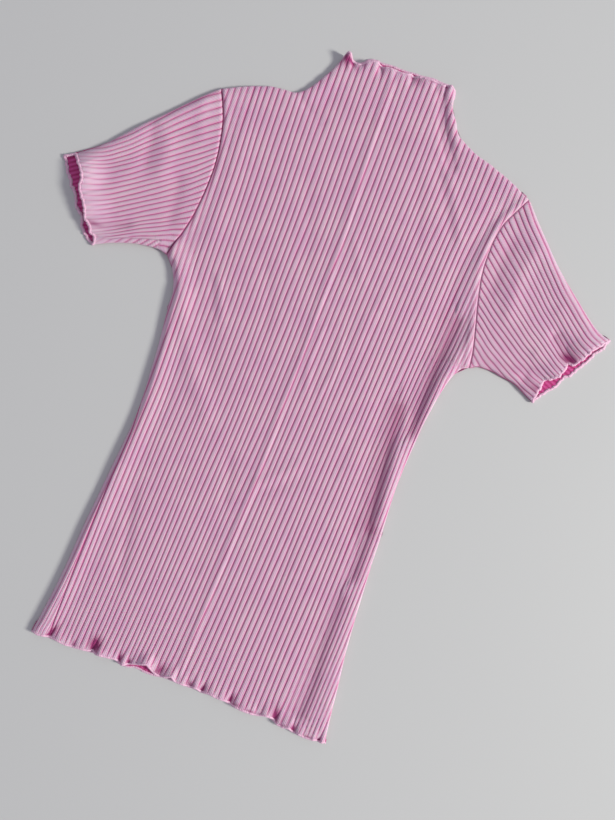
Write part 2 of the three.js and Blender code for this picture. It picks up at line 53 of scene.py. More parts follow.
ORIGIN_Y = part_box("sleeve_right_of_view")[1][1] / MM - SHOULDER_TIP_Y   # the hem's right corner


def table(columns, *rows):
    """A small table: a string of column names, then a row for each place."""
    return {name: np.array([row[k] for row in rows], float)
            for k, name in enumerate(columns.split())}


def fold(width, lift, *path, gentle=None):
    """A soft ridge, or a trough if its lift is below zero, along a path. A gentle fold has a
    longer slope on its left."""
    return dict(width=width, lift=lift, path=path, gentle=gentle or width)


# Outline of the body, from the hem up to the underarms, and on along the armhole seams.
LEFT_UNDERARM_Y = 405.0
RIGHT_UNDERARM_Y = 402.0
LEFT_SIDE = table(
    "y x",
    (5, -156.3), (10, -156), (17, -154.5), (29, -152.8), (59, -148.8), (89, -146), (120, -143.8),
    (150, -140.8), (182, -137.8), (210, -134.8), (235, -132.4), (255, -131.6), (288, -132.9),
    (315, -134.4), (340, -136.9), (358, -138.6), (370, -138.8), (380, -141.2), (391, -146),
    (399, -151), (LEFT_UNDERARM_Y, -157.5))
RIGHT_SIDE = table(
    "y x",
    (0, 157), (14, 155), (29, 153.2), (59, 150), (89, 146.3), (118, 144), (149, 142.2),
    (180, 140.5), (209, 139.6), (239, 138), (264, 137.2), (288, 138), (314, 139.8), (330, 141),
    (350, 143.8), (370, 147.2), (384, 150.8), (393, 154.5), (399, 159), (RIGHT_UNDERARM_Y, 165))
LEFT_ARMHOLE = table(
    "y x",
    (LEFT_UNDERARM_Y, -157.5), (413, -156), (422, -153.4), (436, -149.3), (450, -146.4),
    (467, -144.2), (483, -143), (500, -142.6), (517, -143.7), (530, -145.7), (543, -148.3),
    (555, -151.8), (567, -156.6), (580, -162.3))
RIGHT_ARMHOLE = table(
    "y x",
    (RIGHT_UNDERARM_Y, 165), (417, 163), (430, 160), (447, 155.8), (463, 151.7), (477, 148.4),
    (490, 145.9), (507, 144.3), (523, 144.4), (542, 146.8), (552, 150), (562, 155), (572, 160),
    (580, 164.3))
LEFT_SHOULDER = table(
    "x y",
    (-162.3, 580), (-156, 583), (-146, 588.2), (-136, 592.3), (-126, 595.8), (-116, 599),
    (-106, 600.2), (-94, 600.8), (-87, 604), (-80, 611), (-76, 616.5), (-70, 626.5),
    (-64.5, 636), (-59.5, 648), (-57.5, 654))
RIGHT_SHOULDER = table(
    "x y",
    (58, 656.5), (60.5, 643), (64, 635), (68, 630.3), (71.5, 624), (76, 616.8), (84, 612),
    (92, 607.8), (100, 604.3), (108, 602), (116, 600), (124, 597), (132, 594.3), (140, 591.2),
    (148, 588), (156, 583.5), (164.3, 580))
NARROW_Y = 516.0    # height of the narrowest place between the armholes
LEFT_KNOTS = np.array([5, 62, 288, LEFT_UNDERARM_Y, NARROW_Y])
RIGHT_KNOTS = np.array([0, 60, 288, RIGHT_UNDERARM_Y, NARROW_Y])

# The wavy hem and neck: the front's outer edge, how far it stands up, and the back's outer edge.
HEM = table(
    "x front lift back",
    (-157, 5, 0.6, 5), (-150, 3, 3.2, 4), (-144, 4, 2.6, 4.5), (-138, 5.2, 0.3, 4.6),
    (-131, 4.2, 2.8, 4.5), (-120, 2.9, 2.4, 4), (-113, 3.6, 0.8, 3.4), (-105, 4, 2.4, 4.4),
    (-98, 5.4, 1.4, 5), (-93, 7.6, 0.2, 5.3), (-86, 4.2, 4.6, 5.6), (-78, 5, 3.6, 6),
    (-70, 6, 2.2, 6.2), (-65, 5.8, 0.2, 4.6), (-60, 2.8, 2.6, 3.6), (-55, 6.4, 0.4, 3.4),
    (-48, 8.6, 2.6, 5.6), (-43, 10, 4.6, 5.6), (-37.5, 11.6, 6, 4.6), (-31, 8, 3.2, 4.4),
    (-27, 6, 1.6, 4.6), (-22, 5.4, 0.6, 5), (-15, 6.4, 2.8, 6), (-10, 8.4, 4.2, 6),
    (-4, 5.4, 2.6, 5.6), (3, 5.2, 2.8, 5.6), (9, 5.8, 0.9, 5.6), (16, 6.2, 3, 6),
    (23, 5.2, 0.5, 4.8), (31, 5.4, 2.8, 5.6), (42, 4.2, 3.6, 4.8), (49, 4.4, 3, 4.4),
    (53, 4.4, 0.3, 3.6), (60, 2.2, 2.2, 3), (68, 1.2, 3.8, 2.2), (78, 1.2, 2.6, 1.2),
    (86, 2.8, 1.8, 2.6), (92, 4, 3.6, 4), (97, 4.2, 2.4, 4), (102, 3.4, 0.2, 2.4),
    (106, 0.2, 1.6, 1), (112, -0.8, 2.6, 0), (118, 0, 3.4, 0), (122, -1.2, 0.4, -1),
    (129, -2.2, 2.4, -1.6), (136, -2.8, 2, -2), (144, -2.6, 3, -2), (149.5, -1.4, 0.6, -1.4),
    (154, -2, 2.6, -1.4), (157, -0.8, 0.8, -0.6))
NECK = table(
    "x front lift back",
    (-57.5, 655.5, 3, 651), (-56, 659, 6.4, 650.2), (-54, 659, 7, 650), (-51.5, 656, 4.6, 650),
    (-48.5, 651.5, 1.2, 650.4), (-44, 650.4, 0.6, 650.8), (-40, 651.2, 0.8, 652),
    (-37, 653, 1.6, 654), (-34, 657, 3.4, 657.6), (-30, 658.4, 4, 659.4), (-25, 659, 3.6, 660),
    (-21.5, 657, 1.2, 659.4), (-18.5, 655.4, 0.3, 659), (-15, 657, 2.2, 659.6),
    (-9, 657.6, 3, 660), (0, 657, 2.6, 659.7), (7, 657.8, 3, 659.7), (11, 658.8, 2, 660.2),
    (14, 657, 0.2, 660.4), (19, 659.2, 1.6, 660.4), (26, 660, 3.4, 661), (32, 660.8, 3.6, 662),
    (39, 660, 2.4, 661.4), (45, 659.6, 2.8, 661), (48.5, 659.8, 0.8, 661),
    (52.5, 662, 3.8, 660.6), (56, 659.6, 2.4, 659), (58, 657.6, 1, 656.5))
NECK_LEFT = -57.5
NECK_RIGHT = 58.0
EDGE_Z = 3.2        # height of the wavy edges before their lift
EDGE_DEPTH = 18.0   # how far from the edge the waves have died out
HEM_REACH = 40.0    # how far from the hem the rows follow it

# Deep places where the edges and cuffs fold in, darkened with painted shade: across, up, lean to the
# right, darkness.
HEM_PITS = table(
    "x y wide high lean dark",
    (-138, 10, 2.2, 6, 0.4, 1), (-113, 7, 2, 2.6, 0, 0.45), (-92.5, 14, 4.2, 5.5, 0, 1),
    (-94, 9, 3, 2, 0, 0.6), (-65, 9, 1.6, 4.5, -0.2, 0.9), (-55, 9.5, 1.5, 2.2, 0, 1),
    (-23, 12, 3, 5, 0.2, 0.65), (10, 9, 3, 2.4, -0.4, 0.55), (23.5, 8.5, 2, 4, 0.2, 0.9),
    (53.2, 8, 1.9, 4.5, 0.1, 1), (60, 5, 4, 1.5, 0, 0.4), (76, 4, 4.5, 0.9, 0, 0.5),
    (86, 4.6, 2, 1, 0, 0.35), (101, 9, 3.2, 6, -0.15, 0.75), (111, 1.5, 4, 1.2, 0, 0.4),
    (122, 2, 2.2, 3, 0, 0.9), (139, -0.6, 4, 1, 0, 0.5), (149.8, 0.6, 1.7, 1.6, 0.3, 0.9))
NECK_PITS = table(
    "x y wide high lean dark",
    (-50.5, 650, 2.8, 3.4, -1.1, 1), (-56, 652, 3, 6, -0.4, 0.75), (-39.5, 650.6, 2, 1, 0, 0.5),
    (-21, 655.4, 1.4, 2.6, -0.6, 0.8), (13.6, 657, 1.7, 2.6, 0, 1), (19, 655, 3.4, 3.4, 0, 0.35),
    (35, 658.6, 4, 0.9, 0, 0.35), (48.4, 659, 1.5, 1.8, 0, 0.7))
PIT_DEPTH = 1.1
PIT_WIDER = 1.25    # how much wider and higher a pit is made than its row says
PIT_HIGHER = 1.4

# Places of the hem that draw the ribs together.
HEM_PULLS = table(
    "x pull wide",
    (-138, 1.8, 7), (-93, 2.6, 8), (-65, 1.2, 5), (-22, 1.4, 7), (23, 0.8, 5), (53, 1.2, 6),
    (101, 1.6, 7), (122, 0.8, 5))
PULL_SCALE = 1.6

# Where four of the ribs lie, counted from a middle one. The ribs lean across the garment.
RIB_LINES = table(
    "y left20 middle right20 right26",
    (0, -127, -28, 87, 121), (54, -123.5, -24, 89, 123), (114, -121, -19.5, 92, 125.5),
    (214, -117.5, -13, 97, 128), (294, -114.5, -8, 101, 128.5), (374, -115, -4.5, 106, 134),
    (414, -116, -3.5, 108.5, 139), (494, -117, -0.5, 113, 146), (564, -119.5, 0.5, 118.5, 154),
    (660, -121, 2, 122, 158))
SIDE_RIB = 20
LAST_RIB = 26
LEFT_RIB = -22      # ribs from here
RIGHT_RIB = 23      # to here run unbroken from the hem to the shoulders and neck
SIDE_PITCH = 4.3    # of the ribs near the right-hand side
RIB_PITCH = 5.4     # of most ribs, for the material
RIB_DEPTH = 0.95
SLEEVE_RIBS = 0.95  # the sleeves' rib depth beside the front's
RIB_FULL = 2.6      # how full the round of a rib is
RIB_SOFT = 1.15     # how softly it leaves the groove
RIB_RUNOUT = 1.6    # how far from an edge or a seam the ribs have their full height
BACK_RUNOUT = 2.5   # the same on the undersides
LINE_RUNOUT = 1.2   # the same beside a seam within a piece
RIB_SAMPLES = np.array((0, 0.07, 0.18, 0.38, 0.62, 0.82, 0.93))

# Low on the left the back comes round to the front as far as this seam.
WRAP_SEAM = table(
    "y x",
    (0, -139.5), (79, -138), (112, -137.2), (166, -134.5), (199, -132.3), (233, -130.5),
    (256, -131.5))
WRAP_TOP = 256.0
WRAP_PITCH = 3.4
WRAP_RIBS = 0.7     # height of its ribs beside the others
WRAP_DIP = 0.3

# The armhole seams: a dip along the seam, a ridge beside it and a line of painted shade, darker on
# the left seam, which faces away from the light.
LEFT_SEAM_DIP = 0.3
SEAM_DEEPENS_Y = 460.0   # the left seam is deeper above this
RIGHT_SEAM_DIP = 0.15
RIGHT_SLEEVE_DIP = 0.1
LEFT_SEAM_RIDGE = 0.4
RIGHT_SEAM_RIDGE = 0.7
SEAM_RIDGE_AWAY = 4.0
SEAM_RIDGE_WIDE = 3.0
LEFT_SEAM_SHADE = 0.9
RIGHT_SEAM_SHADE = 0.35
SEAM_SHADE_WIDE = 0.9

# Heights above the table.
MEET_Z = 1.9        # where the front's and the back's folded edges meet
FRONT_Z = 4.1       # bottom of the front's grooves where it lies flat
LOWEST_Z = 2.6      # bottom of the front's grooves in the deepest folds
WALL = 1.0
LAYER_GAP = 0.12    # between the inner faces of the two layers, at least
LEFT_ROLL = table(
    "y wide", (0, 3.8), (100, 3.6), (250, 3.8), (290, 5.5), (350, 6), (385, 4), (405, 3))
RIGHT_ROLL = 1.8
LEFT_RISE = dict(rise=2.7, crest=6, run=26)
RIGHT_RISE = dict(rise=1.1, crest=7, run=42)
SHOULDER_RISE = dict(rise=0.7, crest=6, run=20)
BACK_INSIDE_Z = 1.45
BACK_GROOVE_Z = 0.85
BACK_THINNEST = 0.05
BACK_LAP = 0.1      # the back's folded edge lies this far under the front's
FAR = 99.0          # too far away to have a part in anything
ARMHOLE_GAP = 0.15

# Soft folds of the front: a half width, a height and a path.
FRONT_FOLDS = (
    fold(8, -2.8, (134, 440), (130, 395), (129, 360), (129, 322), gentle=16),
    fold(6, 1.6, (160, 445), (150, 405), (144, 375), (142, 335)),
    fold(8, -2.8, (109, 340), (112, 300), (116, 262), (121, 218), gentle=16),
    fold(5.5, 1.3, (123, 335), (126, 300), (130, 262), (133, 230)),
    fold(5, -1.8, (125, 214), (125, 166), gentle=12),
    fold(6, -1.5, (121, 140), (121, 85), (124, 50), (122, 18), gentle=16),
    fold(8, -1.1, (143, 560), (128, 520), (122, 480), (124, 440)),
    fold(5, 0.8, (147, 556), (139, 520), (138, 490), (141, 460)),
    fold(5, -2.8, (45, 655), (52, 637), (58, 621), (67, 605), (80, 585)),
    fold(3.5, 1.0, (60, 640), (68, 622), (80, 606)),
    fold(9, 1.4, (-128, 372), (-112, 336), (-90, 298), (-66, 270)),
    fold(9, -0.6, (-106, 376), (-92, 342), (-74, 308)),
    fold(4, 0.9, (-100, 401), (-92, 383), (-84, 366)),
    fold(4, -0.7, (-108, 398), (-100, 380), (-92, 362)),
    fold(5, 0.8, (14, 484), (24, 466), (34, 450)),
    fold(4, 0.7, (14, 388), (12, 355), (20, 326)),
    fold(4, 0.7, (36, 384), (40, 355), (34, 328)),
    fold(4.5, 1.1, (4, 219), (22, 236), (38, 250)),
    fold(5, -0.7, (12, 212), (30, 226), (46, 240)),
    fold(5, -0.8, (-30, 236), (-22, 214), (-20, 196)),
    fold(6, -1.1, (-108, 172), (-100, 130), (-92, 84)),
    fold(6, -0.9, (69, 578), (88, 548), (106, 516)),
    fold(5, 0.7, (82, 575), (98, 548), (112, 520)),
    fold(6, -0.5, (52, 560), (66, 530), (74, 500)),
    fold(4, -1.0, (-84, 598), (-70, 588), (-56, 582)),
    fold(11, 0.9, (-128, 545), (-124, 500), (-122, 440)),
    fold(12, -0.7, (-60, 602), (-20, 598), (20, 590)),
    fold(7, -0.5, (-50, 520), (-32, 480), (-22, 440)),
    fold(6, -0.5, (-62, 430), (-46, 400), (-40, 370)),
    fold(6, 0.6, (62, 440), (54, 410), (52, 380)),
    fold(6, -0.5, (80, 300), (74, 260)),
    fold(7, -0.5, (-20, 160), (-26, 120)),
    fold(7, -0.5, (60, 170), (56, 130)),
)
STEEP_SHADE_AWAY = 5.0  # how far right of a gentle fold, on its steep side away from the light, its painted shade is darkest
STEEP_SHADE_WIDE = 6.5

# The same on the undersides, where they only rise from the table.
BACK_FOLDS = (
    fold(9, 0.45, (-118, 560), (-96, 520), (-84, 470)),
    fold(7, 0.5, (108, 545), (92, 500), (88, 452)),
    fold(6, 0.4, (-40, 622), (-12, 612), (20, 618)),
    fold(8, 0.5, (126, 372), (98, 330), (70, 306)),
    fold(6, 0.4, (-130, 300), (-92, 276), (-60, 270)),
    fold(10, 0.4, (20, 250), (34, 205), (30, 160)),
    fold(7, 0.5, (-86, 150), (-94, 100), (-92, 60)),
    fold(9, 0.45, (98, 120), (110, 84), (108, 40)),
    fold(8, 0.45, (-186, 520), (-200, 490), (-206, 460)),
    fold(5, 0.5, (-238, 450), (-214, 432), (-184, 430)),
    fold(7, 0.5, (176, 520), (192, 486), (196, 452)),
    fold(6, 0.4, (252, 452), (226, 436), (196, 432)),
)
CREASE = table(
    "y x", (26, -2.4), (164, 1.5), (230, 3.6), (309, 3), (364, 4.5), (468, 3), (594, -3), (640, -4),
    (656, -4.2))
CREASE_RISE = 1.0
CREASE_LEFT = 4.6
CREASE_RIGHT = 2.0

# The sleeves: both folded edges, the tracks of five ribs by their share of the way from the top
# fold to the underarm, the outer edges of both layers at the cuff, and how far the cuff lifts.
RIB_TRACKS = ("first", "second", "third", "fourth", "last")
LEFT_SLEEVE = dict(
    node="sleeve_left_of_view", side=-1, rib_fade=0.2, fade_run=30.0, mouth_run=34.0,
    top=table(
        "x y", (-162.7, 580), (-176, 568.3), (-191, 553.2), (-206, 537.8), (-226, 518.2),
        (-241, 501.5), (-256, 485.8), (-268, 476.4), (-277, 469.5)),
    low=table(
        "x y", (-157.9, 404.5), (-168, 407.5), (-180, 406.5), (-192, 404.5), (-204, 401),
        (-216, 396.5), (-230.5, 389.5)),
    rib_at=np.array([0, 6, 12, 18, 23]), unbroken=(3, 21), bands=(40, 48),
    ribs=table(
        "t first second third fourth last", (0, 0.02, 0.26, 0.45, 0.7, 0.91),
        (0.15, 0.01, 0.27, 0.5, 0.75, 0.94), (0.3, 0.01, 0.27, 0.52, 0.78, 0.96),
        (0.45, 0.02, 0.27, 0.54, 0.8, 0.97), (0.6, 0.03, 0.27, 0.55, 0.82, 0.985),
        (0.75, 0.01, 0.25, 0.55, 0.83, 1), (0.88, -0.03, 0.21, 0.54, 0.83, 1.005),
        (1, -0.08, 0.14, 0.51, 0.83, 1.01)),
    front_edge=table(
        "at out", (0, 1.8), (0.1, 1.2), (0.17, 0.1), (0.24, 0.1), (0.31, 2.5), (0.36, 4.6),
        (0.45, 4.3), (0.54, 3.3), (0.61, 3.4), (0.7, 4.7), (0.79, 1.5), (0.87, 1.9), (0.91, -1.6),
        (1, 1.2)),
    back_edge=table(
        "at out", (0, 13.5), (0.08, 12.7), (0.18, 13.2), (0.27, 11.5), (0.32, 12.2), (0.38, 10.2),
        (0.45, 9.6), (0.55, 10.9), (0.62, 9.1), (0.68, 7.2), (0.78, 8.9), (0.86, 7.4), (0.95, 4.3),
        (1, 1.3)),
    wave=table(
        "at lift", (0, 0), (0.06, 5), (0.14, 8.6), (0.24, 9.4), (0.34, 9), (0.42, 8.4), (0.5, 8.2),
        (0.58, 7.6), (0.66, 6), (0.76, 5), (0.86, 3.4), (0.91, 1.6), (0.96, 2), (1, 0)),
    pits=table("x y wide high lean dark", (-238, 409.5, 8, 1.8, 0, 0.5)),
    strip=table(
        "x y", (-232, 399), (-220, 400), (-206.7, 405.8), (-193.3, 410), (-180, 414.2),
        (-168.3, 416.7)),
    folds=(
        fold(9, 1.3, (-196, 514), (-192, 496), (-192, 478)),
        fold(7, -1.1, (-214, 522), (-210, 502), (-208, 485)),
        fold(7, -1.0, (-172, 480), (-168, 460), (-166, 440)),
        fold(4, -1.5, (-248, 407), (-228, 413), (-205, 420)),
        fold(9, 0.7, (-222, 472), (-232, 452), (-240, 432)),
        fold(7, 0.7, (-176, 560), (-172, 545), (-166, 530)),
    ),
)
RIGHT_SLEEVE = dict(
    node="sleeve_right_of_view", side=1, rib_fade=0.8, fade_run=12.0, mouth_run=26.0,
    top=table(
        "x y", (164.7, 580), (180, 562.8), (196, 545.8), (212, 529.3), (228, 515.2), (244, 502.2),
        (260, 489.3), (276, 478.7), (288, 475)),
    low=table(
        "x y", (165.4, 402.5), (174, 406.7), (186, 407.2), (198, 405.3), (212, 403), (226, 396.5),
        (236, 391.3)),
    rib_at=np.array([0, 6, 12, 18, 22]), unbroken=(1, 18), bands=(22, 84),
    ribs=table(
        "t first second third fourth last", (0, 0.01, 0.23, 0.47, 0.74, 0.92),
        (0.15, 0.02, 0.24, 0.51, 0.81, 1), (0.3, 0.02, 0.25, 0.54, 0.86, 1.04),
        (0.45, 0.03, 0.27, 0.57, 0.89, 1.07), (0.6, 0.05, 0.31, 0.61, 0.92, 1.1),
        (0.75, 0.06, 0.34, 0.63, 0.93, 1.12), (0.88, 0.07, 0.37, 0.64, 0.92, 1.12),
        (1, 0.09, 0.4, 0.66, 0.91, 1.11)),
    front_edge=table(
        "at out", (0, 1), (0.06, 0.1), (0.13, -0.4), (0.19, -1.7), (0.26, -1.5), (0.32, -0.5),
        (0.39, -1.4), (0.44, -1.6), (0.475, -7.4), (0.51, -4.8), (0.56, -3.6), (0.63, -2.2),
        (0.71, -5.2), (0.77, -8.4), (0.81, -6.9), (0.86, -4.5), (0.94, -1.5), (1, 1.1)),
    back_edge=table(
        "at out", (0, 0.8), (0.06, 2), (0.12, 3.6), (0.19, 2), (0.3, 3.7), (0.45, 3.7),
        (0.53, 4.4), (0.59, 1.9), (0.64, 2.4), (0.73, 3.9), (0.8, 2.3), (0.9, 1.4), (1, 0.8)),
    wave=table(
        "at lift", (0, 0), (0.08, 2.6), (0.2, 4.4), (0.32, 3.6), (0.4, 2), (0.46, 0.2),
        (0.54, 3.2), (0.63, 4), (0.73, 1.6), (0.8, 0.4), (0.87, 2.6), (0.94, 2.4), (1, 0)),
    pits=table(
        "x y wide high lean dark", (256, 443.5, 7, 3.2, -0.3, 1), (236, 405, 5, 3, 0, 0.45)),
    strip=None,
    folds=(
        fold(8, -1.2, (163, 534), (160, 508), (160, 482)),
        fold(9, 1.4, (187, 532), (182, 502), (184, 466)),
        fold(5, -0.9, (178, 414), (200, 416), (220, 420)),
        fold(6.5, -2.6, (238, 460), (250, 450), (264, 442)),
        fold(6, -1.8, (222, 410), (240, 403)),
        fold(6, 1.2, (225, 436), (244, 428), (256, 432)),
        fold(7, 0.9, (232, 484), (250, 470), (268, 460)),
    ),
)
SLEEVES = {"left": LEFT_SLEEVE, "right": RIGHT_SLEEVE}
SLEEVE_SAMPLES = np.array((0, 0.07, 0.17, 0.34, 0.5, 0.66, 0.83, 0.93))
SLEEVE_ROWS = 76
SLEEVE_BACK_RIBS = 22
SLEEVE_ROLL = 3.2
SLEEVE_RISE = dict(rise=1.2, crest=6, run=24)
STRIP_PITCH = 6.0
STRIP_SLANT = 0.9
STRIP_DIP = 0.8
SLEEVE_LENGTH = 130.0    # for the material
CUFF_FROM = 0.72    # the share of a sleeve's length from which it follows its cuff's edge

# Painted shade: how dark it makes the knit in a pit, in a trough and on the steep side of a
# gentle fold, which faces away from the light, and how dark the painted groove shade stays where the
# ribs have no height.
PIT_SHADE = 1.5
TROUGH_SHADE = 0.05
SLEEVE_TROUGH_SHADE = 0.11
DEEPEST_TROUGH = 3.0
STEEP_SIDE_PAINTED_SHADE = 0.14
FLAT_GROOVE_SHADE = 0.35
SLEEVE_FLAT_GROOVE_SHADE = 0.2

# Overlock thread round an edge.
THREAD_OUT = 1.15
THREAD_THICK = 0.95
THREAD_REACH = 1.4   # from the edge of the cloth to the outside of the thread
STITCH = 1.75
THREAD_STEP = 0.45
THREAD_SIDES = 8
STITCH_SWELL = 0.17
THREAD_UNEVEN = 0.2
LOWEST_THREAD_Z = 0.05
CUFF_THREAD = 1.35   # the cuffs' thread beside the hem's

# Camera and light. A pixel of the picture is one millimetre at the height of the folded edges.
PHOTO_HIGH = 820
VIEW_ANGLE = math.radians(67)
LEAN = math.radians(19.9)          # the garment's axis leans this far to the right
LOOK_AT = np.array((27.5, 307.0))  # what lies in the middle of the picture
CAMERA_Z = PHOTO_HIGH / 2 / math.tan(VIEW_ANGLE / 2) + MEET_Z
WINDOW_FROM = math.radians(4)      # round from the garment's right-hand side
WINDOW_HEIGHT = math.radians(28)
WINDOW_AWAY = 4.8                  # metres
WINDOW_WIDE = 0.95
WINDOW_POWER = 262.0
ROOM_LIGHT = 0.42


def smooth(t):
    """A soft step from 0 to 1."""
    t = np.clip(t, 0, 1)
    return t * t * (3 - 2 * t)


def bell(distance, width):
    return np.exp(-(distance / width) ** 2)


def through(key, value, at):
    """A smooth curve through places that doesn't overshoot them."""
    step = np.diff(value) / np.diff(key)
    slope = np.zeros_like(value)
    slope[0] = step[0]
    slope[-1] = step[-1]
    same = step[:-1] * step[1:] > 0
    both = np.where(same, step[:-1] + step[1:], 1)
    slope[1:-1] = np.where(same, 2 * step[:-1] * step[1:] / both, 0)
    at = np.asarray(at, float)
    k = np.clip(np.searchsorted(key, at, side="right") - 1, 0, len(key) - 2)
    wide = key[k + 1] - key[k]
    t = np.clip((at - key[k]) / wide, 0, 1)
    return ((1 + 2 * t) * (1 - t) ** 2 * value[k] + t * (1 - t) ** 2 * wide * slope[k]
            + t * t * (3 - 2 * t) * value[k + 1] + t * t * (t - 1) * wide * slope[k + 1])


def curve(rows, key, column, at):
    return through(rows[key], rows[column], at)


def places(rows):
    return np.stack([rows["x"], rows["y"]], axis=-1)


def run_along(path):
    """How far along a path each of its points lies."""
    steps = np.linalg.norm(np.diff(path, axis=0), axis=1)
    return np.concatenate([[0], np.cumsum(steps)])


def along(path, share):
    """Point of a smooth path at a share of its length."""
    run = run_along(path)
    at = np.asarray(share) * run[-1]
    return np.stack([through(run, path[:, k], at) for k in (0, 1)], axis=-1)


def path_sides(x, y, path):
    """Distance from each place to a path of straight pieces, and how far right of it it lies."""
    nearest = np.full(np.shape(x), np.inf)
    right = np.zeros(np.shape(x))
    for (x0, y0), (x1, y1) in zip(path[:-1], path[1:]):
        dx = x1 - x0
        dy = y1 - y0
        t = np.clip(((x - x0) * dx + (y - y0) * dy) / (dx * dx + dy * dy), 0, 1)
        distance = np.hypot(x - x0 - t * dx, y - y0 - t * dy)
        right = np.where(distance < nearest, x - x0 - t * dx, right)
        nearest = np.minimum(nearest, distance)
    return nearest, right


def path_distance(x, y, path):
    return path_sides(x, y, path)[0]


def fold_lift(folds, x, y):
    """Height of all the folds together at each place."""
    lift = np.zeros(np.shape(x))
    for one in folds:
        distance, right = path_sides(x, y, one["path"])
        width = one["width"] + (one["gentle"] - one["width"]) * smooth(0.5 - right / 2)
        lift += one["lift"] * bell(distance, width)
    return lift


def steep_side_shade(folds, x, y):
    """Painted shade on the steep side of the gentle folds, which faces away from the light."""
    fold_shade = np.zeros(np.shape(x))
    for one in folds:
        if one["gentle"] > one["width"]:
            distance = path_distance(x - STEEP_SHADE_AWAY, y, one["path"])
            fold_shade -= one["lift"] * bell(distance, STEEP_SHADE_WIDE)
    return fold_shade


# How strongly each place lies in a pit: this sinks the pits and sets the shade painted in them
def pit_darkness(pits, x, y):
    dark = np.zeros(np.shape(x))
    for x0, y0, wide, high, lean, most in zip(*pits.values()):
        across = (x - x0 - lean * (y - y0)) / (PIT_WIDER * wide)
        up = (y - y0) / (PIT_HIGHER * high)
        dark = np.maximum(dark, most * np.exp(-across ** 2 - up ** 2))
    return dark


def side_rise(distance, rise, crest, run):
    """A soft rise inside a folded edge, highest at its crest and gone at the end of its run."""
    return rise * smooth(distance / crest) * (1 - smooth((distance - crest) / (run - crest)))


def folded_edge(distance, radius):
    """Share of the full height that a folded edge has at a distance inside it."""
    return np.sqrt(1 - (1 - np.clip(distance / radius, 0, 1)) ** 2)


def rib_anchors(y):
    """Where the four followed ribs lie at height y."""
    return [curve(RIB_LINES, "y", name, y) for name in ("left20", "middle", "right20", "right26")]


def rib_x(n, y):
    """Where rib n lies at height y."""
    left, middle, right, edge = rib_anchors(y)
    x = middle + n * np.where(n < 0, middle - left, right - middle) / SIDE_RIB
    beyond = right + (n - SIDE_RIB) * (edge - right) / (LAST_RIB - SIDE_RIB)
    x = np.where(n > SIDE_RIB, beyond, x)
    wander = 0.32 * np.sin(y / 41 + 0.83 * n) + 0.2 * np.sin(y / 19 + 1.9 * n)
    return x + wander


def rib_number(x, y):
    """Which rib lies at a place, between whole numbers inside a rib."""
    left, middle, right, edge = rib_anchors(y)
    n = (x - middle) * SIDE_RIB / np.where(x < middle, middle - left, right - middle)
    beyond = SIDE_RIB + (x - right) * (LAST_RIB - SIDE_RIB) / (edge - right)
    n = np.where(x > right, beyond, n)
    return np.where(x > edge, LAST_RIB + (x - edge) / SIDE_PITCH, n)


def rib_height(phase):
    """Height of a rib, 0 in the groove and 1 on the crest, by its place across the rib."""
    across = np.abs(2 * (phase - np.floor(phase)) - 1)
    return np.sqrt(np.clip(1 - across ** RIB_FULL, 0, 1)) ** RIB_SOFT


def top_y(x, layer):
    """Height of the cloth's shoulder, funnel and neck line."""
    line = np.where(x < NECK_LEFT, curve(LEFT_SHOULDER, "x", "y", x),
                    curve(NECK, "x", layer, x) - THREAD_REACH)
    return np.where(x > NECK_RIGHT, curve(RIGHT_SHOULDER, "x", "y", x), line)


def left_edge(y):
    return np.where(y <= LEFT_UNDERARM_Y, curve(LEFT_SIDE, "y", "x", y),
                    curve(LEFT_ARMHOLE, "y", "x", y))


def right_edge(y):
    return np.where(y <= RIGHT_UNDERARM_Y, curve(RIGHT_SIDE, "y", "x", y),
                    curve(RIGHT_ARMHOLE, "y", "x", y))


def outline(rows, count=40):
    return along(places(rows), np.linspace(0, 1, count))


LEFT_FOLD = outline(LEFT_SIDE)
RIGHT_FOLD = outline(RIGHT_SIDE)
SHOULDER_FOLDS = (outline(LEFT_SHOULDER), outline(RIGHT_SHOULDER))
ARMHOLES = (outline(LEFT_ARMHOLE), outline(RIGHT_ARMHOLE))


def nearest_of(paths, x, y):
    return np.minimum.reduce([path_distance(x, y, path) for path in paths])


def left_seam_dip(y):
    return LEFT_SEAM_DIP + smooth((y - SEAM_DEEPENS_Y) / 50)


def across_ribs(first, last, samples):
    """Places across each rib from the first to the last, counted in ribs."""
    return np.append((np.arange(first, last)[:, None] + samples).ravel(), last)


def upper_rows(count, crowding):
    """Shares of the way up to the shoulders, closest together at the top."""
    return 1 - (1 - np.linspace(0, 1, count)[1:]) ** crowding


def knit_places(numbers, run):
    """Places on the knit for the material, across the ribs and along them."""
    return np.stack(np.broadcast_arrays(numbers * RIB_PITCH, run), axis=-1)


def band(count):
    """Shares across a band beside the unbroken ribs, closest together at its outer edge."""
    return np.linspace(0, 1, count + 1)[:-1] ** 1.5


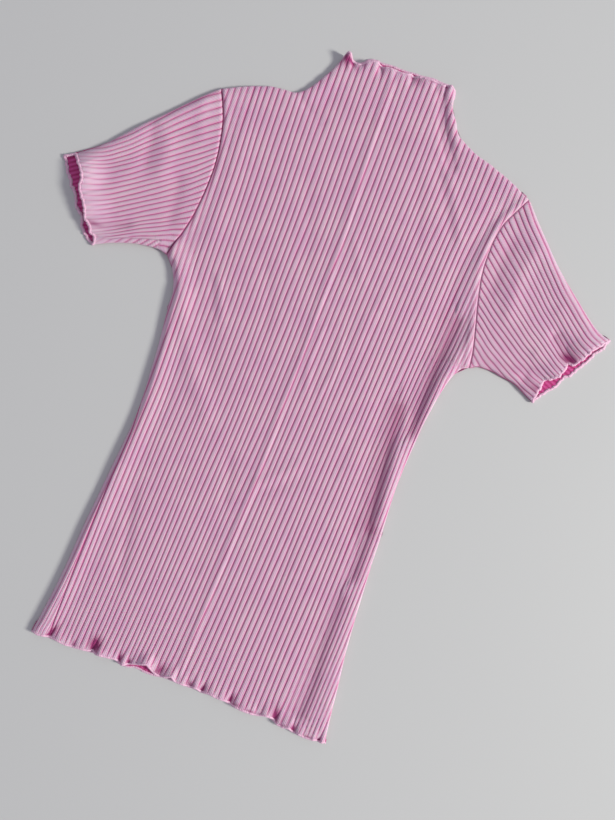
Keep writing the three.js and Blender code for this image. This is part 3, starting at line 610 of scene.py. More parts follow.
def body_plan(layer, lower, upper, samples, bands):
    """Plan of the body: rows from the hem up, columns along the ribs, and which rib each is in.

    layer is front or back, lower has the heights of the rows up to the narrowest place, upper
    the shares of the way from there to the shoulder and neck line, samples the places across
    each rib, and bands the number of columns beside each outermost unbroken rib."""
    n = across_ribs(LEFT_RIB, RIGHT_RIB, samples)
    left_y = np.interp(lower, RIGHT_KNOTS, LEFT_KNOTS)
    left_x = left_edge(left_y)
    right_x = right_edge(lower)
    y = np.repeat(((left_y + lower) / 2)[:, None], len(n), axis=1)
    # Each row slopes evenly from its left end to its right one.
    for _ in range(2):
        share = (rib_x(n[None], y) - left_x[:, None]) / (right_x - left_x)[:, None]
        y = left_y[:, None] + (lower - left_y)[:, None] * share
    low_middle = np.stack([rib_x(n[None], y), y], axis=-1)
    # Closes in on the height at which each rib meets the top line.
    top = np.full(len(n), 600.0)
    for _ in range(16):
        top = (top + top_y(rib_x(n, top), layer)) / 2
    y = NARROW_Y + (top[None] - NARROW_Y) * upper[:, None]
    high_middle = np.stack([rib_x(n[None], y), y], axis=-1)
    middle = np.concatenate([low_middle, high_middle])
    armhole_y = NARROW_Y + (SHOULDER_TIP_Y - NARROW_Y) * upper
    edge_y = np.concatenate([left_y, armhole_y])
    left = np.stack([left_edge(edge_y), edge_y], axis=-1)[:, None]
    edge_y = np.concatenate([lower, armhole_y])
    right = np.stack([right_edge(edge_y), edge_y], axis=-1)[:, None]
    left_band = left + (middle[:, :1] - left) * band(bands[0])[None, :, None]
    right_band = right + (middle[:, -1:] - right) * band(bands[1])[None, ::-1, None]
    plan = np.concatenate([left_band, middle, right_band], axis=1)
    x = plan[..., 0]
    at_hem = 1 - smooth((plan[..., 1] - plan[:1, :, 1]) / HEM_REACH)
    corners = (LEFT_SIDE["x"][0], RIGHT_SIDE["x"][0])
    straight = np.interp(x, corners, (LEFT_KNOTS[0], RIGHT_KNOTS[0]))
    plan[..., 1] += at_hem * (curve(HEM, "x", layer, x) + THREAD_REACH - straight)
    numbers = rib_number(x, plan[..., 1])
    numbers[:, bands[0]:bands[0] + len(n)] = n[None]
    for place, pull, wide in zip(*HEM_PULLS.values()):
        off = (x - place) / wide
        plan[..., 0] = x - at_hem ** 2 * pull * PULL_SCALE * off * np.exp(-off * off)
    return plan, numbers


def spaced(*stretches):
    """Places from a list of (end, step) stretches, starting at 0."""
    found = [0.0]
    for end, step in stretches:
        count = max(1, round((end - found[-1]) / step))
        found += list(np.linspace(found[-1], end, count + 1)[1:])
    return np.array(found)


def normals(points):
    """Upward normals of a grid of points."""
    across = np.gradient(points, axis=1)
    along_rows = np.gradient(points, axis=0)
    normal = np.cross(across, along_rows)
    normal *= np.sign(normal[..., 2:].mean())
    return normal / np.linalg.norm(normal, axis=-1, keepdims=True)


def wavy_edges(x, y, hem, top):
    """How near each place is to the wavy hem or neck, from 0 to 1, and the edge's height there."""
    at_hem = 1 - smooth((y - hem) / EDGE_DEPTH)
    within_neck = smooth((x - NECK_LEFT) / 4 + 1) * smooth((NECK_RIGHT - x) / 4 + 1)
    at_neck = (1 - smooth((top - y) / EDGE_DEPTH)) * within_neck
    ripple = 0.25 * np.sin(x / 2.3) + 0.2 * np.sin(x / 1.37 + 1)
    lift = np.where(y < NARROW_Y, curve(HEM, "x", "lift", x), curve(NECK, "x", "lift", x))
    return np.maximum(at_hem, at_neck) ** 1.4, EDGE_Z + lift + ripple


def front_surface(plan, numbers):
    """Outer face of the front at its grooves, how far the ribs stand up from it, and how far
    each place is in a groove, for its painted groove shade, and how much shade is painted on it in
    pits, troughs and folds."""
    x = plan[..., 0]
    y = plan[..., 1]
    left = path_distance(x, y, LEFT_FOLD)
    right = path_distance(x, y, RIGHT_FOLD)
    shoulder = nearest_of(SHOULDER_FOLDS, x, y)
    seam = nearest_of(ARMHOLES, x, y)
    near_edge, edge_z = wavy_edges(x, y, plan[:1, :, 1], plan[-1:, :, 1])
    folds = fold_lift(FRONT_FOLDS, x, y)
    soft = folds + side_rise(left, **LEFT_RISE) + side_rise(right, **RIGHT_RISE)
    soft += side_rise(shoulder, **SHOULDER_RISE)
    crease = x - curve(CREASE, "y", "x", y)
    soft += CREASE_RISE * bell(crease, np.where(crease < 0, CREASE_LEFT, CREASE_RIGHT))
    seam_dip = np.where(x < 0, left_seam_dip(y), RIGHT_SEAM_DIP)
    seam_ridge = np.where(x < 0, LEFT_SEAM_RIDGE, RIGHT_SEAM_RIDGE)
    soft += seam_ridge * bell(seam - SEAM_RIDGE_AWAY, SEAM_RIDGE_WIDE) - seam_dip * bell(seam, 1.4)
    wrap = np.where(y < WRAP_TOP, x - curve(WRAP_SEAM, "y", "x", y), FAR)
    soft -= WRAP_DIP * bell(wrap, 0.9)
    dark = np.maximum(pit_darkness(HEM_PITS, x, y), pit_darkness(NECK_PITS, x, y))
    height = FRONT_Z + soft
    height = height + near_edge * (edge_z - height) - PIT_DEPTH * dark
    height = np.maximum(height, LOWEST_Z)
    z = MEET_Z + (height - MEET_Z) * np.minimum(
        folded_edge(left, curve(LEFT_ROLL, "y", "wide", y)),
        folded_edge(np.minimum(right, shoulder), RIGHT_ROLL))
    points = np.stack([x, y, z], axis=-1)
    rib = rib_height(np.where(wrap < 0, (x - left_edge(y)) / WRAP_PITCH, numbers))
    edge = np.minimum(np.minimum(left, right), shoulder)
    fade = smooth(edge / RIB_RUNOUT + 0.3) * smooth(seam / RIB_RUNOUT)
    fade = fade * smooth(np.abs(wrap) / LINE_RUNOUT)
    fade = fade * np.where(wrap < 0, WRAP_RIBS, 1) * (1 - 0.75 * near_edge ** 5)
    # Painted shade on the steep sides of the gentle folds, which face away from the light
    steep_shade = STEEP_SIDE_PAINTED_SHADE * steep_side_shade(FRONT_FOLDS, x, y)
    # Painted shade in the troughs of the folds
    trough = TROUGH_SHADE * np.clip(-folds, 0, DEEPEST_TROUGH)
    # All the painted shade: in the pits, in the troughs and on the steep sides of the gentle folds
    painted_shade = np.clip(PIT_SHADE * dark + trough + steep_shade, 0, 1)
    seam_shade = np.where(x < 0, LEFT_SEAM_SHADE, RIGHT_SEAM_SHADE) * bell(seam, SEAM_SHADE_WIDE)
    # Painted groove shade, which stays, fainter, where the ribs fade out to no height
    between = (1 - rib) * (FLAT_GROOVE_SHADE + (1 - FLAT_GROOVE_SHADE) * fade)
    # Lines of painted shade along the wrap seam and the armhole seams
    groove = np.maximum(between, np.maximum(bell(wrap, 0.7), seam_shade))
    return points, rib * fade, groove, painted_shade


def seen_from_camera(points):
    """Draws raised points in towards the middle, so each still covers its place in the picture."""
    points = points.copy()
    scale = (CAMERA_Z - points[..., 2:]) / (CAMERA_Z - MEET_Z)
    points[..., :2] = LOOK_AT + (points[..., :2] - LOOK_AT) * scale
    return points


def in_frame(points):
    """Points of the tables as metres of the part's frame."""
    return ((seen_from_camera(points) + np.array([ORIGIN_X, ORIGIN_Y, 0])) * MM).tolist()


def new_piece(name, points, faces, material):
    mesh = bpy.data.meshes.new(name)
    mesh.from_pydata(in_frame(points), [], faces)
    mesh.polygons.foreach_set("use_smooth", np.ones(len(mesh.polygons), bool))
    mesh.materials.append(material)
    mesh.update()
    piece = bpy.data.objects.new(name, mesh)
    bpy.context.scene.collection.objects.link(piece)
    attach(piece, "root")
    return piece


class Shell:
    """Cloth walls as closed meshes, gathered face by face."""

    def __init__(self):
        self.points = []
        self.faces = []
        self.attributes = {"groove": [], "painted_shade": [], "inside": []}
        self.knit = []
        self.count = 0

    def add(self, points, groove, painted_shade, inside, knit):
        """Adds a grid of points and returns their numbers."""
        shape = points.shape[:2]
        total = shape[0] * shape[1]
        self.points.append(points.reshape(-1, 3))
        self.attributes["groove"].append(np.broadcast_to(groove, shape).reshape(-1))
        self.attributes["painted_shade"].append(np.broadcast_to(painted_shade, shape).reshape(-1))
        self.attributes["inside"].append(np.full(total, float(inside)))
        self.knit.append(knit.reshape(-1, 2))
        numbers = np.arange(self.count, self.count + total).reshape(shape)
        self.count += total
        return numbers

    def grid(self, net, flip):
        a = net[:-1, :-1].ravel()
        b = net[:-1, 1:].ravel()
        c = net[1:, 1:].ravel()
        d = net[1:, :-1].ravel()
        quads = np.stack([a, d, c, b] if flip else [a, b, c, d], axis=-1)
        self.faces.extend(quads.tolist())

    def strip(self, lower, upper):
        """Faces between two rims, each with its points and their places along it."""
        points_a, at_a = lower
        points_b, at_b = upper
        i = 0
        j = 0
        while i < len(points_a) - 1 or j < len(points_b) - 1:
            next_a = at_a[i + 1] if i < len(points_a) - 1 else math.inf
            next_b = at_b[j + 1] if j < len(points_b) - 1 else math.inf
            if next_a <= next_b:
                self.faces.append([int(points_a[i]), int(points_a[i + 1]), int(points_b[j])])
                i += 1
            else:
                self.faces.append([int(points_a[i]), int(points_b[j + 1]), int(points_b[j])])
                j += 1

    def wall(self, outer_points, inner_points, picks, shades, knit, flip):
        """A closed wall: an outer grid and a coarser inner one that uses its picked rows and
        columns. shades says how far the outer points are in a groove and how much shade is painted
        on them, and flip turns every face over."""
        rows, columns = picks
        outer = self.add(outer_points, shades[0], shades[1], 0, knit)
        inner = self.add(inner_points, 0.5, 0, 1, knit[np.ix_(rows, columns)])
        self.grid(outer, flip)
        self.grid(inner, not flip)
        every_row = np.arange(outer.shape[0])
        every_column = np.arange(outer.shape[1])
        rims = [
            ((inner[0], columns), (outer[0], every_column)),
            ((outer[-1], every_column), (inner[-1], columns)),
            ((outer[:, 0], every_row), (inner[:, 0], rows)),
            ((inner[:, -1], rows), (outer[:, -1], every_row)),
        ]
        for lower, upper in rims:
            if flip:
                self.strip(upper, lower)
            else:
                self.strip(lower, upper)

    def build(self, name, material):
        piece = new_piece(name, np.concatenate(self.points), self.faces, material)
        for key, values in self.attributes.items():
            layer = piece.data.attributes.new(key, "FLOAT", "POINT")
            layer.data.foreach_set("value", np.concatenate(values).astype(np.float32))
        knit = np.concatenate(self.knit)
        knit = np.concatenate([knit, np.zeros((len(knit), 1))], axis=1)
        layer = piece.data.attributes.new("knit", "FLOAT_VECTOR", "POINT")
        layer.data.foreach_set("vector", knit.astype(np.float32).ravel())
        return piece


def every(count, step):
    return np.unique(np.append(np.arange(0, count, step), count - 1))


def rib_picks(total, bands, samples, ribs_step, band_step):
    """Columns that the inner face keeps: some of each rib's and some of each band's."""
    middle = np.arange(bands[0], total - bands[1] - 1, samples)
    middle = np.concatenate([middle + step for step in ribs_step])
    return np.unique(np.concatenate([
        np.arange(0, bands[0], band_step), middle, np.arange(total - bands[1] - 1, total, band_step),
        [total - 1]]))


def inner_face(base, normal, painted_shade, thicker):
    """Inner face of an upper layer: a wall below its grooves, thicker where the most shade is
    painted, at the pits and troughs.
    """
    inside = base - normal * (WALL + thicker * painted_shade)[..., None]
    inside[..., 2] = np.maximum(inside[..., 2], BACK_INSIDE_Z + LAYER_GAP)
    return inside


def make_front(material):
    lower = spaced((6, 0.9), (22, 1.6), (388, 4.1), (RIGHT_UNDERARM_Y, 1.3), (NARROW_Y, 4))
    bands = (46, 84)
    plan, numbers = body_plan("front", lower, upper_rows(38, crowding=1.6), RIB_SAMPLES, bands)
    base, rib, groove, painted_shade = front_surface(plan, numbers)
    normal = normals(base)
    face = base + normal * (RIB_DEPTH * rib)[..., None]
    knit = knit_places(numbers, plan[..., 1])
    picks = (every(len(face), 2), rib_picks(face.shape[1], bands, len(RIB_SAMPLES), (0, 3), 6))
    inside = inner_face(base, normal, painted_shade, thicker=0.4)
    shell = Shell()
    shell.wall(face, inside[np.ix_(*picks)], picks, (groove, painted_shade), knit, flip=False)
    middle = base - normal * (WALL / 2)
    return shell.build("front_knit", material), middle[0], middle[-1]


def under_height(standing, folds, edge, roll):
    """Height of an underside, which lies on its ribs' crests and rises to its folded edges."""
    groove_z = BACK_GROOVE_Z * (1 - standing) + folds * standing
    return groove_z + (MEET_Z - BACK_LAP - groove_z) * (1 - folded_edge(edge, roll))


def floor_face(under, picks):
    """Inner face of an underside, at the points that it keeps."""
    floor = under[np.ix_(*picks)].copy()
    floor[..., 2] = np.maximum(BACK_INSIDE_Z, floor[..., 2] + BACK_THINNEST)
    return floor


def back_surface(plan, numbers):
    """Underside of the back, and how far each place is in a groove."""
    x = plan[..., 0]
    y = plan[..., 1]
    edge = nearest_of((LEFT_FOLD, RIGHT_FOLD) + SHOULDER_FOLDS, x, y)
    seam = nearest_of(ARMHOLES, x, y)
    rib = rib_height(numbers + 0.5)
    standing = rib * smooth(edge / BACK_RUNOUT) * smooth(seam / RIB_RUNOUT)
    z = under_height(standing, fold_lift(BACK_FOLDS, x, y), edge, RIGHT_ROLL)
    return np.stack([x, y, z], axis=-1), 1 - rib


def make_back(material):
    lower = spaced((4, 1.4), (20, 3), (RIGHT_UNDERARM_Y, 5.6), (NARROW_Y, 5.6))
    samples = np.array((0, 0.12, 0.3, 0.7, 0.88))
    bands = (24, 44)
    plan, numbers = body_plan("back", lower, upper_rows(24, crowding=1.45), samples, bands)
    under, groove = back_surface(plan, numbers)
    knit = knit_places(numbers, plan[..., 1])
    picks = (every(len(under), 2), rib_picks(under.shape[1], bands, len(samples), (0,), 4))
    shell = Shell()
    shell.wall(under, floor_face(under, picks), picks, (groove, 0), knit, flip=True)
    middle = under.copy()
    middle[..., 2] = (under[..., 2] + BACK_INSIDE_Z) / 2
    return shell.build("back_knit", material), middle[0], middle[-1]


def rib_shares(sleeve, n, t):
    """Share of the way from the top fold to the underarm at which ribs n lie, a row for each t."""
    tracks = np.stack([curve(sleeve["ribs"], "t", name, t) for name in RIB_TRACKS])
    at = sleeve["rib_at"]
    k = np.clip(np.searchsorted(at, n, side="right") - 1, 0, len(at) - 2)
    part = (n - at[k]) / (at[k + 1] - at[k])
    wander = 0.002 * np.sin(9 * t[:, None] + 1.7 * n[None])
    return tracks[k].T * (1 - part) + tracks[k + 1].T * part + wander


def rib_counts(sleeve, t, share):
    """Which rib lies at each share of each row, past the outermost tracks too."""
    at = sleeve["rib_at"].astype(float)
    found = []
    for row_t, row in zip(t, share):
        tracks = np.array([curve(sleeve["ribs"], "t", name, row_t) for name in RIB_TRACKS])
        n = np.interp(row, tracks, at)
        n += np.minimum(row - tracks[0], 0) * (at[1] - at[0]) / (tracks[1] - tracks[0])
        n += np.maximum(row - tracks[-1], 0) * (at[-1] - at[-2]) / (tracks[-1] - tracks[-2])
        found.append(n)
    return np.array(found)


def cuff_outward(sleeve):
    """Direction out of a sleeve at its cuff."""
    down = places(sleeve["low"])[-1] - places(sleeve["top"])[-1]
    down = down / np.linalg.norm(down)
    return np.array([-down[1], down[0]]) * sleeve["side"]


def sleeve_plan(sleeve, t, share, edge_rows):
    """Plan of a sleeve layer: t runs to the cuff, a row for each, and share to the underarm."""
    t = t[:, None, None]
    s = share[..., None]
    first = places(sleeve["top"])
    last = places(sleeve["low"])
    top = along(first, t[:, :, 0])
    low = along(last, t[:, :, 0])
    armhole = places(LEFT_ARMHOLE if sleeve["side"] < 0 else RIGHT_ARMHOLE)[::-1]
    hole = along(armhole, share) + np.array([sleeve["side"] * ARMHOLE_GAP, 0])
    cuff = first[-1] + (last[-1] - first[-1]) * s
    near = (1 - s) * first[0] + s * last[0]
    far = (1 - s) * first[-1] + s * last[-1]
    plan = (1 - t) * hole + t * cuff + (1 - s) * top + s * low - ((1 - t) * near + t * far)
    ragged = 0.35 * np.sin(83 * share) + 0.3 * np.sin(131 * share + 2)
    reach = (curve(edge_rows, "at", "out", share) + ragged - CUFF_THREAD * THREAD_REACH)[..., None]
    at_cuff = smooth((t - CUFF_FROM) / (1 - CUFF_FROM)) ** 1.3
    return plan + cuff_outward(sleeve) * at_cuff * reach


def sleeve_heights(sleeve, plan, share):
    """Height of the upper layer at its grooves, its distances from the folded edges, the cuff
    and the armhole, and its folds."""
    x = plan[..., 0]
    y = plan[..., 1]
    edge = nearest_of([outline(sleeve["top"]), outline(sleeve["low"])], x, y)
    cuff = np.linalg.norm(plan - plan[-1:], axis=-1)
    seam = np.linalg.norm(plan - plan[:1], axis=-1)
    folds = fold_lift(sleeve["folds"], x, y)
    soft = folds + side_rise(edge, **SLEEVE_RISE) * smooth(seam / 20)
    seam_dip = left_seam_dip(y) if sleeve["side"] < 0 else RIGHT_SLEEVE_DIP
    soft -= seam_dip * bell(seam, 1.5)
    near_cuff = (1 - smooth(cuff / sleeve["mouth_run"])) ** 1.3
    ripple = 0.25 * np.sin(share * 71) + 0.2 * np.sin(share * 113 + 1)
    lift = curve(sleeve["wave"], "at", "lift", share) + ripple
    height = FRONT_Z + soft
    height = height + near_cuff * (EDGE_Z + lift - height)
    height = height - PIT_DEPTH * pit_darkness(sleeve["pits"], x, y)
    height = np.maximum(height, LOWEST_Z)
    z = MEET_Z + (height - MEET_Z) * folded_edge(edge, SLEEVE_ROLL)
    return z, edge, cuff, seam, folds


def add_upper_layer(sleeve, t, shell):
    """Adds the upper layer of a sleeve to its shell, and returns the middle of its cuff's edge."""
    first, last = sleeve["unbroken"]
    bands = sleeve["bands"]
    n = across_ribs(first, last, SLEEVE_SAMPLES)
    middle = rib_shares(sleeve, n, t)
    top_band = middle[:, :1] * band(bands[0])
    low_band = 1 + (middle[:, -1:] - 1) * band(bands[1])[::-1]
    share = np.concatenate([top_band, middle, low_band], axis=1)
    numbers = rib_counts(sleeve, t, share)
    numbers[:, bands[0]:bands[0] + len(n)] = n[None]
    plan = sleeve_plan(sleeve, t, share, sleeve["front_edge"])
    z, edge, cuff, seam, folds = sleeve_heights(sleeve, plan, share)
    x = plan[..., 0]
    y = plan[..., 1]
    line = np.full(x.shape, FAR)
    if sleeve["strip"]:
        past_its_end = np.where(x < sleeve["strip"]["x"][-1], 0, FAR)
        line = y - curve(sleeve["strip"], "x", "y", x) + past_its_end
        numbers = np.where(line < 0, (x - STRIP_SLANT * y) / STRIP_PITCH, numbers)
        z = z - STRIP_DIP * bell(line, 1.1)
    base = np.stack([x, y, z], axis=-1)
    normal = normals(base)
    rib = rib_height(numbers)
    fade = smooth(edge / RIB_RUNOUT + 0.3) * smooth(seam / 1.5) * smooth(np.abs(line) / LINE_RUNOUT)
    at_cuff = sleeve["rib_fade"]
    fade = fade * (at_cuff + (1 - at_cuff) * smooth((cuff - 3) / sleeve["fade_run"]))
    face = base + normal * (RIB_DEPTH * SLEEVE_RIBS * rib * fade)[..., None]
    # Painted shade in the sleeve's troughs and pits
    trough = SLEEVE_TROUGH_SHADE * np.clip(-folds, 0, DEEPEST_TROUGH)
    painted_shade = np.clip(pit_darkness(sleeve["pits"], x, y) + trough, 0, 1)
    # A line of painted shade along the armhole seam
    seam_shade = LEFT_SEAM_SHADE if sleeve["side"] < 0 else RIGHT_SEAM_SHADE
    # Painted groove shade, as on the front
    between = (1 - rib) * (SLEEVE_FLAT_GROOVE_SHADE + (1 - SLEEVE_FLAT_GROOVE_SHADE) * fade)
    groove = np.maximum(between, seam_shade * bell(seam, SEAM_SHADE_WIDE))
    knit = knit_places(numbers, SLEEVE_LENGTH * t[:, None])
    picks = (every(len(t), 2), rib_picks(x.shape[1], bands, len(SLEEVE_SAMPLES), (0, 4), 6))
    inside = inner_face(base, normal, painted_shade, thicker=0.3)
    shell.wall(face, inside[np.ix_(*picks)], picks, (groove, painted_shade), knit, flip=sleeve["side"] < 0)
    return base[-1] - normal[-1] * (WALL / 2)


def add_under_layer(sleeve, t, shell):
    """Adds the underside of a sleeve to its shell, and returns the middle of its cuff's edge."""
    ribs = across_ribs(0, SLEEVE_BACK_RIBS, np.array((0, 0.15, 0.5, 0.85)))
    across = ribs / SLEEVE_BACK_RIBS
    share = np.repeat(across[None], len(t), axis=0)
    plan = sleeve_plan(sleeve, t, share, sleeve["back_edge"])
    span = np.linalg.norm(plan[:, 0] - plan[:, -1], axis=-1)[:, None]
    edge = np.minimum(across, 1 - across) * span
    rib = rib_height(ribs) + np.zeros_like(edge)
    folds = fold_lift(BACK_FOLDS, plan[..., 0], plan[..., 1])
    z = under_height(rib * smooth(edge / BACK_RUNOUT), folds, edge, SLEEVE_ROLL)
    under = np.concatenate([plan, z[..., None]], axis=-1)
    knit = knit_places(ribs[None], SLEEVE_LENGTH * t[:, None])
    picks = (every(len(t), 2), every(len(ribs), 2))
    floor = floor_face(under, picks)
    shell.wall(under, floor, picks, (1 - rib, 0), knit, flip=sleeve["side"] > 0)
    cuff = under[-1, ::-1].copy()
    cuff[:, 2] = (cuff[:, 2] + BACK_INSIDE_Z) / 2
    return cuff


def make_sleeve(key, material):
    """A sleeve, and the ring round its cuff's edge."""
    sleeve = SLEEVES[key]
    near_seam = np.linspace(0, 0.06, 7)
    t = np.concatenate([near_seam, np.linspace(near_seam[-1], 1, SLEEVE_ROWS)[1:]])
    shell = Shell()
    front_cuff = add_upper_layer(sleeve, t, shell)
    back_cuff = add_under_layer(sleeve, t, shell)
    piece = shell.build("sleeve_knit_" + key, material)
    return piece, np.concatenate([front_cuff, back_cuff, front_cuff[:1]])


def resample(path, step, closed):
    """Points of a path at even steps, and how far along it they lie."""
    run = run_along(path)
    at = np.linspace(0, run[-1], int(run[-1] / step) + 1)
    if closed:
        at = at[:-1]
    return np.stack([np.interp(at, run, path[:, k]) for k in range(3)], axis=-1), at


def soften(path, closed, times):
    """Evens out a path or a row of values."""
    for _ in range(times):
        if closed:
            path = (np.roll(path, 1, axis=0) + 2 * path + np.roll(path, -1, axis=0)) / 4
        else:
            inner = (path[:-2] + 2 * path[1:-1] + path[2:]) / 4
            path = np.concatenate([path[:1], inner, path[-1:]])
    return path


def make_overlock(name, path, outward, material, size=1.0, closed=False, seed=0):
    """A roll of overlock thread round an edge of the cloth, wound on in short stitches."""
    centre, run = resample(path, THREAD_STEP, closed)
    centre = soften(centre, closed, 3)
    if closed:
        tangent = np.roll(centre, -1, axis=0) - np.roll(centre, 1, axis=0)
    else:
        tangent = np.gradient(centre, axis=0)
    out = np.repeat(np.array([outward], float), len(centre), axis=0)
    tangent /= np.linalg.norm(tangent, axis=1, keepdims=True)
    out -= tangent * np.sum(out * tangent, axis=1, keepdims=True)
    out /= np.maximum(np.linalg.norm(out, axis=1, keepdims=True), 1e-6)
    up = np.cross(out, tangent)
    rng = np.random.default_rng(seed)
    uneven = 1 + THREAD_UNEVEN * soften(rng.normal(size=(len(centre), 1)), closed, 4)[:, 0]
    rings = []
    for angle in np.linspace(0, 2 * math.pi, THREAD_SIDES, endpoint=False):
        twist = np.sin(2 * math.pi * run / STITCH + angle)
        swell = size * uneven * (1 + STITCH_SWELL * twist)
        aside = math.cos(angle) * THREAD_OUT * swell + size * (THREAD_REACH - THREAD_OUT)
        rings.append(centre + out * aside[:, None]
                     + up * (math.sin(angle) * THREAD_THICK * swell)[:, None])
    points = np.stack(rings, axis=1)
    points[..., 2] = np.maximum(points[..., 2], LOWEST_THREAD_Z)
    count = len(centre)
    numbers = np.arange(count * THREAD_SIDES).reshape(count, THREAD_SIDES)
    near = numbers if closed else numbers[:-1]
    far = np.roll(numbers, -1, axis=0)[:len(near)]
    quads = np.stack([near, np.roll(near, -1, axis=1), np.roll(far, -1, axis=1), far], axis=-1)
    faces = quads.reshape(-1, 4).tolist()
    if not closed:
        faces.append(numbers[0][::-1].tolist())
        faces.append(numbers[-1].tolist())
    piece = new_piece(name, points.reshape(-1, 3), faces, material)
    return piece


def new_material(name):
    material = bpy.data.materials.new(name)
    material.use_nodes = True
    nodes = material.node_tree.nodes
    return material, nodes, material.node_tree.links, nodes["Principled BSDF"]


def with_values(node, values):
    """Sets plain values on a node's sockets."""
    for name, value in values.items():
        node.inputs[name].default_value = value
    return node


def mix_colour(nodes, links, factor, first, second):
    node = nodes.new("ShaderNodeMix")
    node.data_type = "RGBA"
    links.new(factor, node.inputs["Factor"])
    colours = [socket for socket in node.inputs if socket.type == "RGBA"]
    for socket, value in zip(colours, (first, second)):
        if isinstance(value, tuple):
            socket.default_value = value
        else:
            links.new(value, socket)
    return [socket for socket in node.outputs if socket.type == "RGBA"][0]


CREST = (0.70, 0.52, 0.61, 1)
CREST_DARK = (0.66, 0.45, 0.585, 1)
# Painted shade in the grooves between the ribs, tinted like light bounced inside them
GROOVE_SHADE = (0.50, 0.03, 0.21, 1)
# Painted shade in the pits, in the troughs and on the fold sides turned away from the light
PIT_AND_FOLD_SHADE = (0.30, 0.035, 0.15, 1)
# Inner faces: a crimson that is partly the yarn's own deeper colour and partly painted shade and
# light shining through the cloth, striped darker with painted shade between the ribs
INSIDE = (0.66, 0.10, 0.33, 1)
INSIDE_RIB_SHADE = (0.45, 0.035, 0.17, 1)
THREAD = (0.82, 0.58, 0.70, 1)
THREAD_DARK = (0.64, 0.30, 0.47, 1)
GROOVE_POWER = 0.85     # below 1 the painted groove shade reaches further up the ribs
TABLE_COLOUR = (0.57, 0.582, 0.566, 1)
WINDOW_COLOUR = (1.0, 0.99, 0.93)
ROOM_COLOUR = (0.96, 0.93, 1.1, 1)


def make_knit():
    material, nodes, links, shader = new_material("rib_knit")
    fields = {}
    for name in ("groove", "painted_shade", "inside", "knit"):
        fields[name] = nodes.new("ShaderNodeAttribute")
        fields[name].attribute_name = name
    knit = fields["knit"].outputs["Vector"]
    cloud = with_values(nodes.new("ShaderNodeTexNoise"), {"Scale": 0.04, "Detail": 3})
    links.new(knit, cloud.inputs["Vector"])
    tint = with_values(nodes.new("ShaderNodeMapRange"), {"From Min": 0.3, "From Max": 0.7})
    links.new(cloud.outputs["Fac"], tint.inputs["Value"])
    crest = mix_colour(nodes, links, tint.outputs["Result"], CREST, CREST_DARK)
    power = nodes.new("ShaderNodeMath")
    power.operation = "POWER"
    power.inputs[1].default_value = GROOVE_POWER
    links.new(fields["groove"].outputs["Fac"], power.inputs[0])
    # Painted shade in the grooves between the ribs
    ribs = mix_colour(nodes, links, power.outputs["Value"], crest, GROOVE_SHADE)
    # Painted shade in the pits, in the troughs and on the steep sides of the gentle folds
    ribs = mix_colour(nodes, links, fields["painted_shade"].outputs["Fac"], ribs, PIT_AND_FOLD_SHADE)
    bands = with_values(nodes.new("ShaderNodeTexWave"),
                        {"Scale": 0.0582, "Distortion": 1.5, "Detail Scale": 0.2})
    bands.wave_type = "BANDS"
    bands.bands_direction = "X"
    links.new(knit, bands.inputs["Vector"])
    # Inner faces, striped with painted shade between the ribs
    inside_colour = mix_colour(nodes, links, bands.outputs["Fac"], INSIDE_RIB_SHADE, INSIDE)
    colour = mix_colour(nodes, links, fields["inside"].outputs["Fac"], ribs, inside_colour)
    links.new(colour, shader.inputs["Base Color"])
    stitch = with_values(nodes.new("ShaderNodeTexWave"),
                         {"Scale": 0.26, "Distortion": 0.8, "Detail": 1})
    stitch.wave_type = "BANDS"
    stitch.bands_direction = "DIAGONAL"
    links.new(knit, stitch.inputs["Vector"])
    fuzz = with_values(nodes.new("ShaderNodeTexNoise"), {"Scale": 2.4, "Detail": 2})
    links.new(knit, fuzz.inputs["Vector"])
    both = nodes.new("ShaderNodeMath")
    both.operation = "ADD"
    links.new(stitch.outputs["Fac"], both.inputs[0])
    links.new(fuzz.outputs["Fac"], both.inputs[1])
    bump = with_values(nodes.new("ShaderNodeBump"), {"Strength": 0.5, "Distance": 0.0004})
    links.new(both.outputs["Value"], bump.inputs["Height"])
    links.new(bump.outputs["Normal"], shader.inputs["Normal"])
    with_values(shader, {
        "Subsurface Weight": 0.35, "Subsurface Radius": (1.0, 0.35, 0.7),
        "Subsurface Scale": 0.0012, "Roughness": 0.8, "Specular IOR Level": 0.2,
        "Sheen Weight": 0.25, "Sheen Roughness": 0.45, "Sheen Tint": (1.0, 0.85, 0.94, 1)})
    return material


def make_thread():
    material, nodes, links, shader = new_material("overlock_thread")
    place = nodes.new("ShaderNodeTexCoord")
    noise = with_values(nodes.new("ShaderNodeTexNoise"), {"Scale": 900})
    links.new(place.outputs["Object"], noise.inputs["Vector"])
    colour = mix_colour(nodes, links, noise.outputs["Fac"], THREAD_DARK, THREAD)
    links.new(colour, shader.inputs["Base Color"])
    bump = with_values(nodes.new("ShaderNodeBump"), {"Strength": 0.4, "Distance": 0.0003})
    links.new(noise.outputs["Fac"], bump.inputs["Height"])
    links.new(bump.outputs["Normal"], shader.inputs["Normal"])
    with_values(shader, {"Roughness": 0.65, "Sheen Weight": 0.2})
    return material


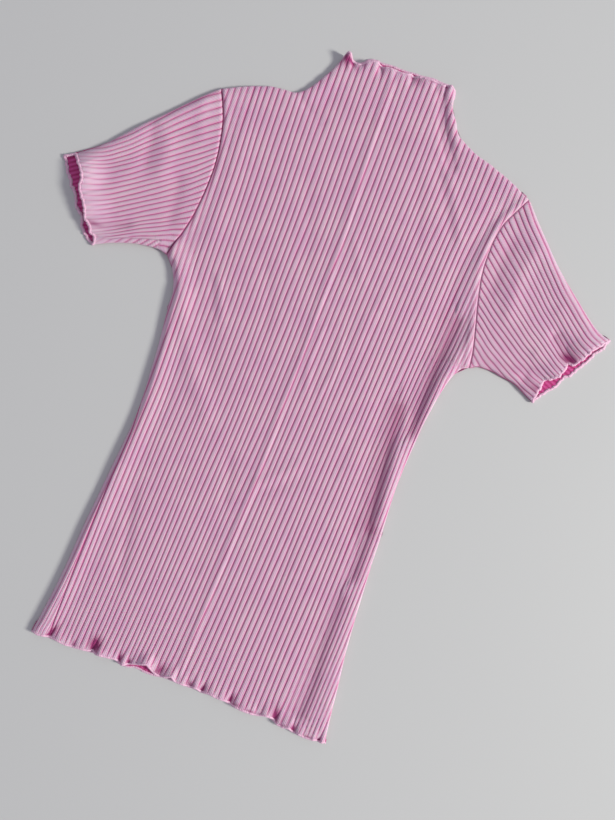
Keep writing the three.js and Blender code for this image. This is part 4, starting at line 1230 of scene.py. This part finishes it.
def make_stage():
    half = 3.0      # metres
    mesh = bpy.data.meshes.new("table")
    mesh.from_pydata([(-half, -half, 0), (half, -half, 0), (half, half, 0), (-half, half, 0)],
                     [], [(0, 1, 2, 3)])
    material, *_, shader = new_material("table_top")
    with_values(shader, {"Base Color": TABLE_COLOUR, "Roughness": 0.6, "Specular IOR Level": 0.25})
    mesh.materials.append(material)
    top = bpy.data.objects.new("table", mesh)
    bpy.context.scene.collection.objects.link(top)

    light = bpy.data.lights.new("window", "AREA")
    light.shape = "DISK"
    light.size = WINDOW_WIDE
    light.energy = WINDOW_POWER
    light.color = WINDOW_COLOUR
    lamp = bpy.data.objects.new("window", light)
    flat = WINDOW_AWAY * math.cos(WINDOW_HEIGHT)
    lamp.location = (flat * math.cos(WINDOW_FROM), flat * math.sin(WINDOW_FROM),
                     WINDOW_AWAY * math.sin(WINDOW_HEIGHT))
    lamp.rotation_euler = (0, math.pi / 2 - WINDOW_HEIGHT, WINDOW_FROM)
    bpy.context.scene.collection.objects.link(lamp)

    world = bpy.data.worlds.new("room")
    world.use_nodes = True
    with_values(world.node_tree.nodes["Background"], {"Color": ROOM_COLOUR, "Strength": ROOM_LIGHT})
    bpy.context.scene.world = world
    bpy.context.scene.view_settings.view_transform = "Standard"


def make_camera():
    data = bpy.data.cameras.new("camera")
    data.lens = data.sensor_width / 2 / math.tan(VIEW_ANGLE / 2)
    camera = bpy.data.objects.new("camera", data)
    camera.location = ((LOOK_AT[0] + ORIGIN_X) * MM, (LOOK_AT[1] + ORIGIN_Y) * MM, CAMERA_Z * MM)
    camera.rotation_euler = (0, 0, LEAN)
    bpy.context.scene.collection.objects.link(camera)
    bpy.context.scene.camera = camera


def over_neck(path):
    """The part of the body's top edge that is the neck."""
    return path[(path[:, 0] > NECK_LEFT - 1) & (path[:, 0] < NECK_RIGHT + 1)]


make_camera()
make_stage()
KNIT = make_knit()
THREADS = make_thread()

DOWN = (0, -1, 0)
UP = (0, 1, 0)
front, front_hem, front_neck = make_front(KNIT)
back, back_hem, back_neck = make_back(KNIT)
hem_front = make_overlock("overlock_hem_front", front_hem, DOWN, THREADS, seed=1)
neck_front = make_overlock("overlock_neck_front", over_neck(front_neck), UP, THREADS, seed=2)
hem_back = make_overlock("overlock_hem_back", back_hem, DOWN, THREADS, seed=3)
neck_back = make_overlock("overlock_neck_back", over_neck(back_neck), UP, THREADS, seed=4)
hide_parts("front_panel")
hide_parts("back_panel")
for key, sleeve in SLEEVES.items():
    piece, cuff_ring = make_sleeve(key, KNIT)
    thread = make_overlock("overlock_cuff_" + key, cuff_ring, (*cuff_outward(sleeve), 0), THREADS,
                           size=CUFF_THREAD, closed=True, seed=5)
    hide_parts(sleeve["node"])
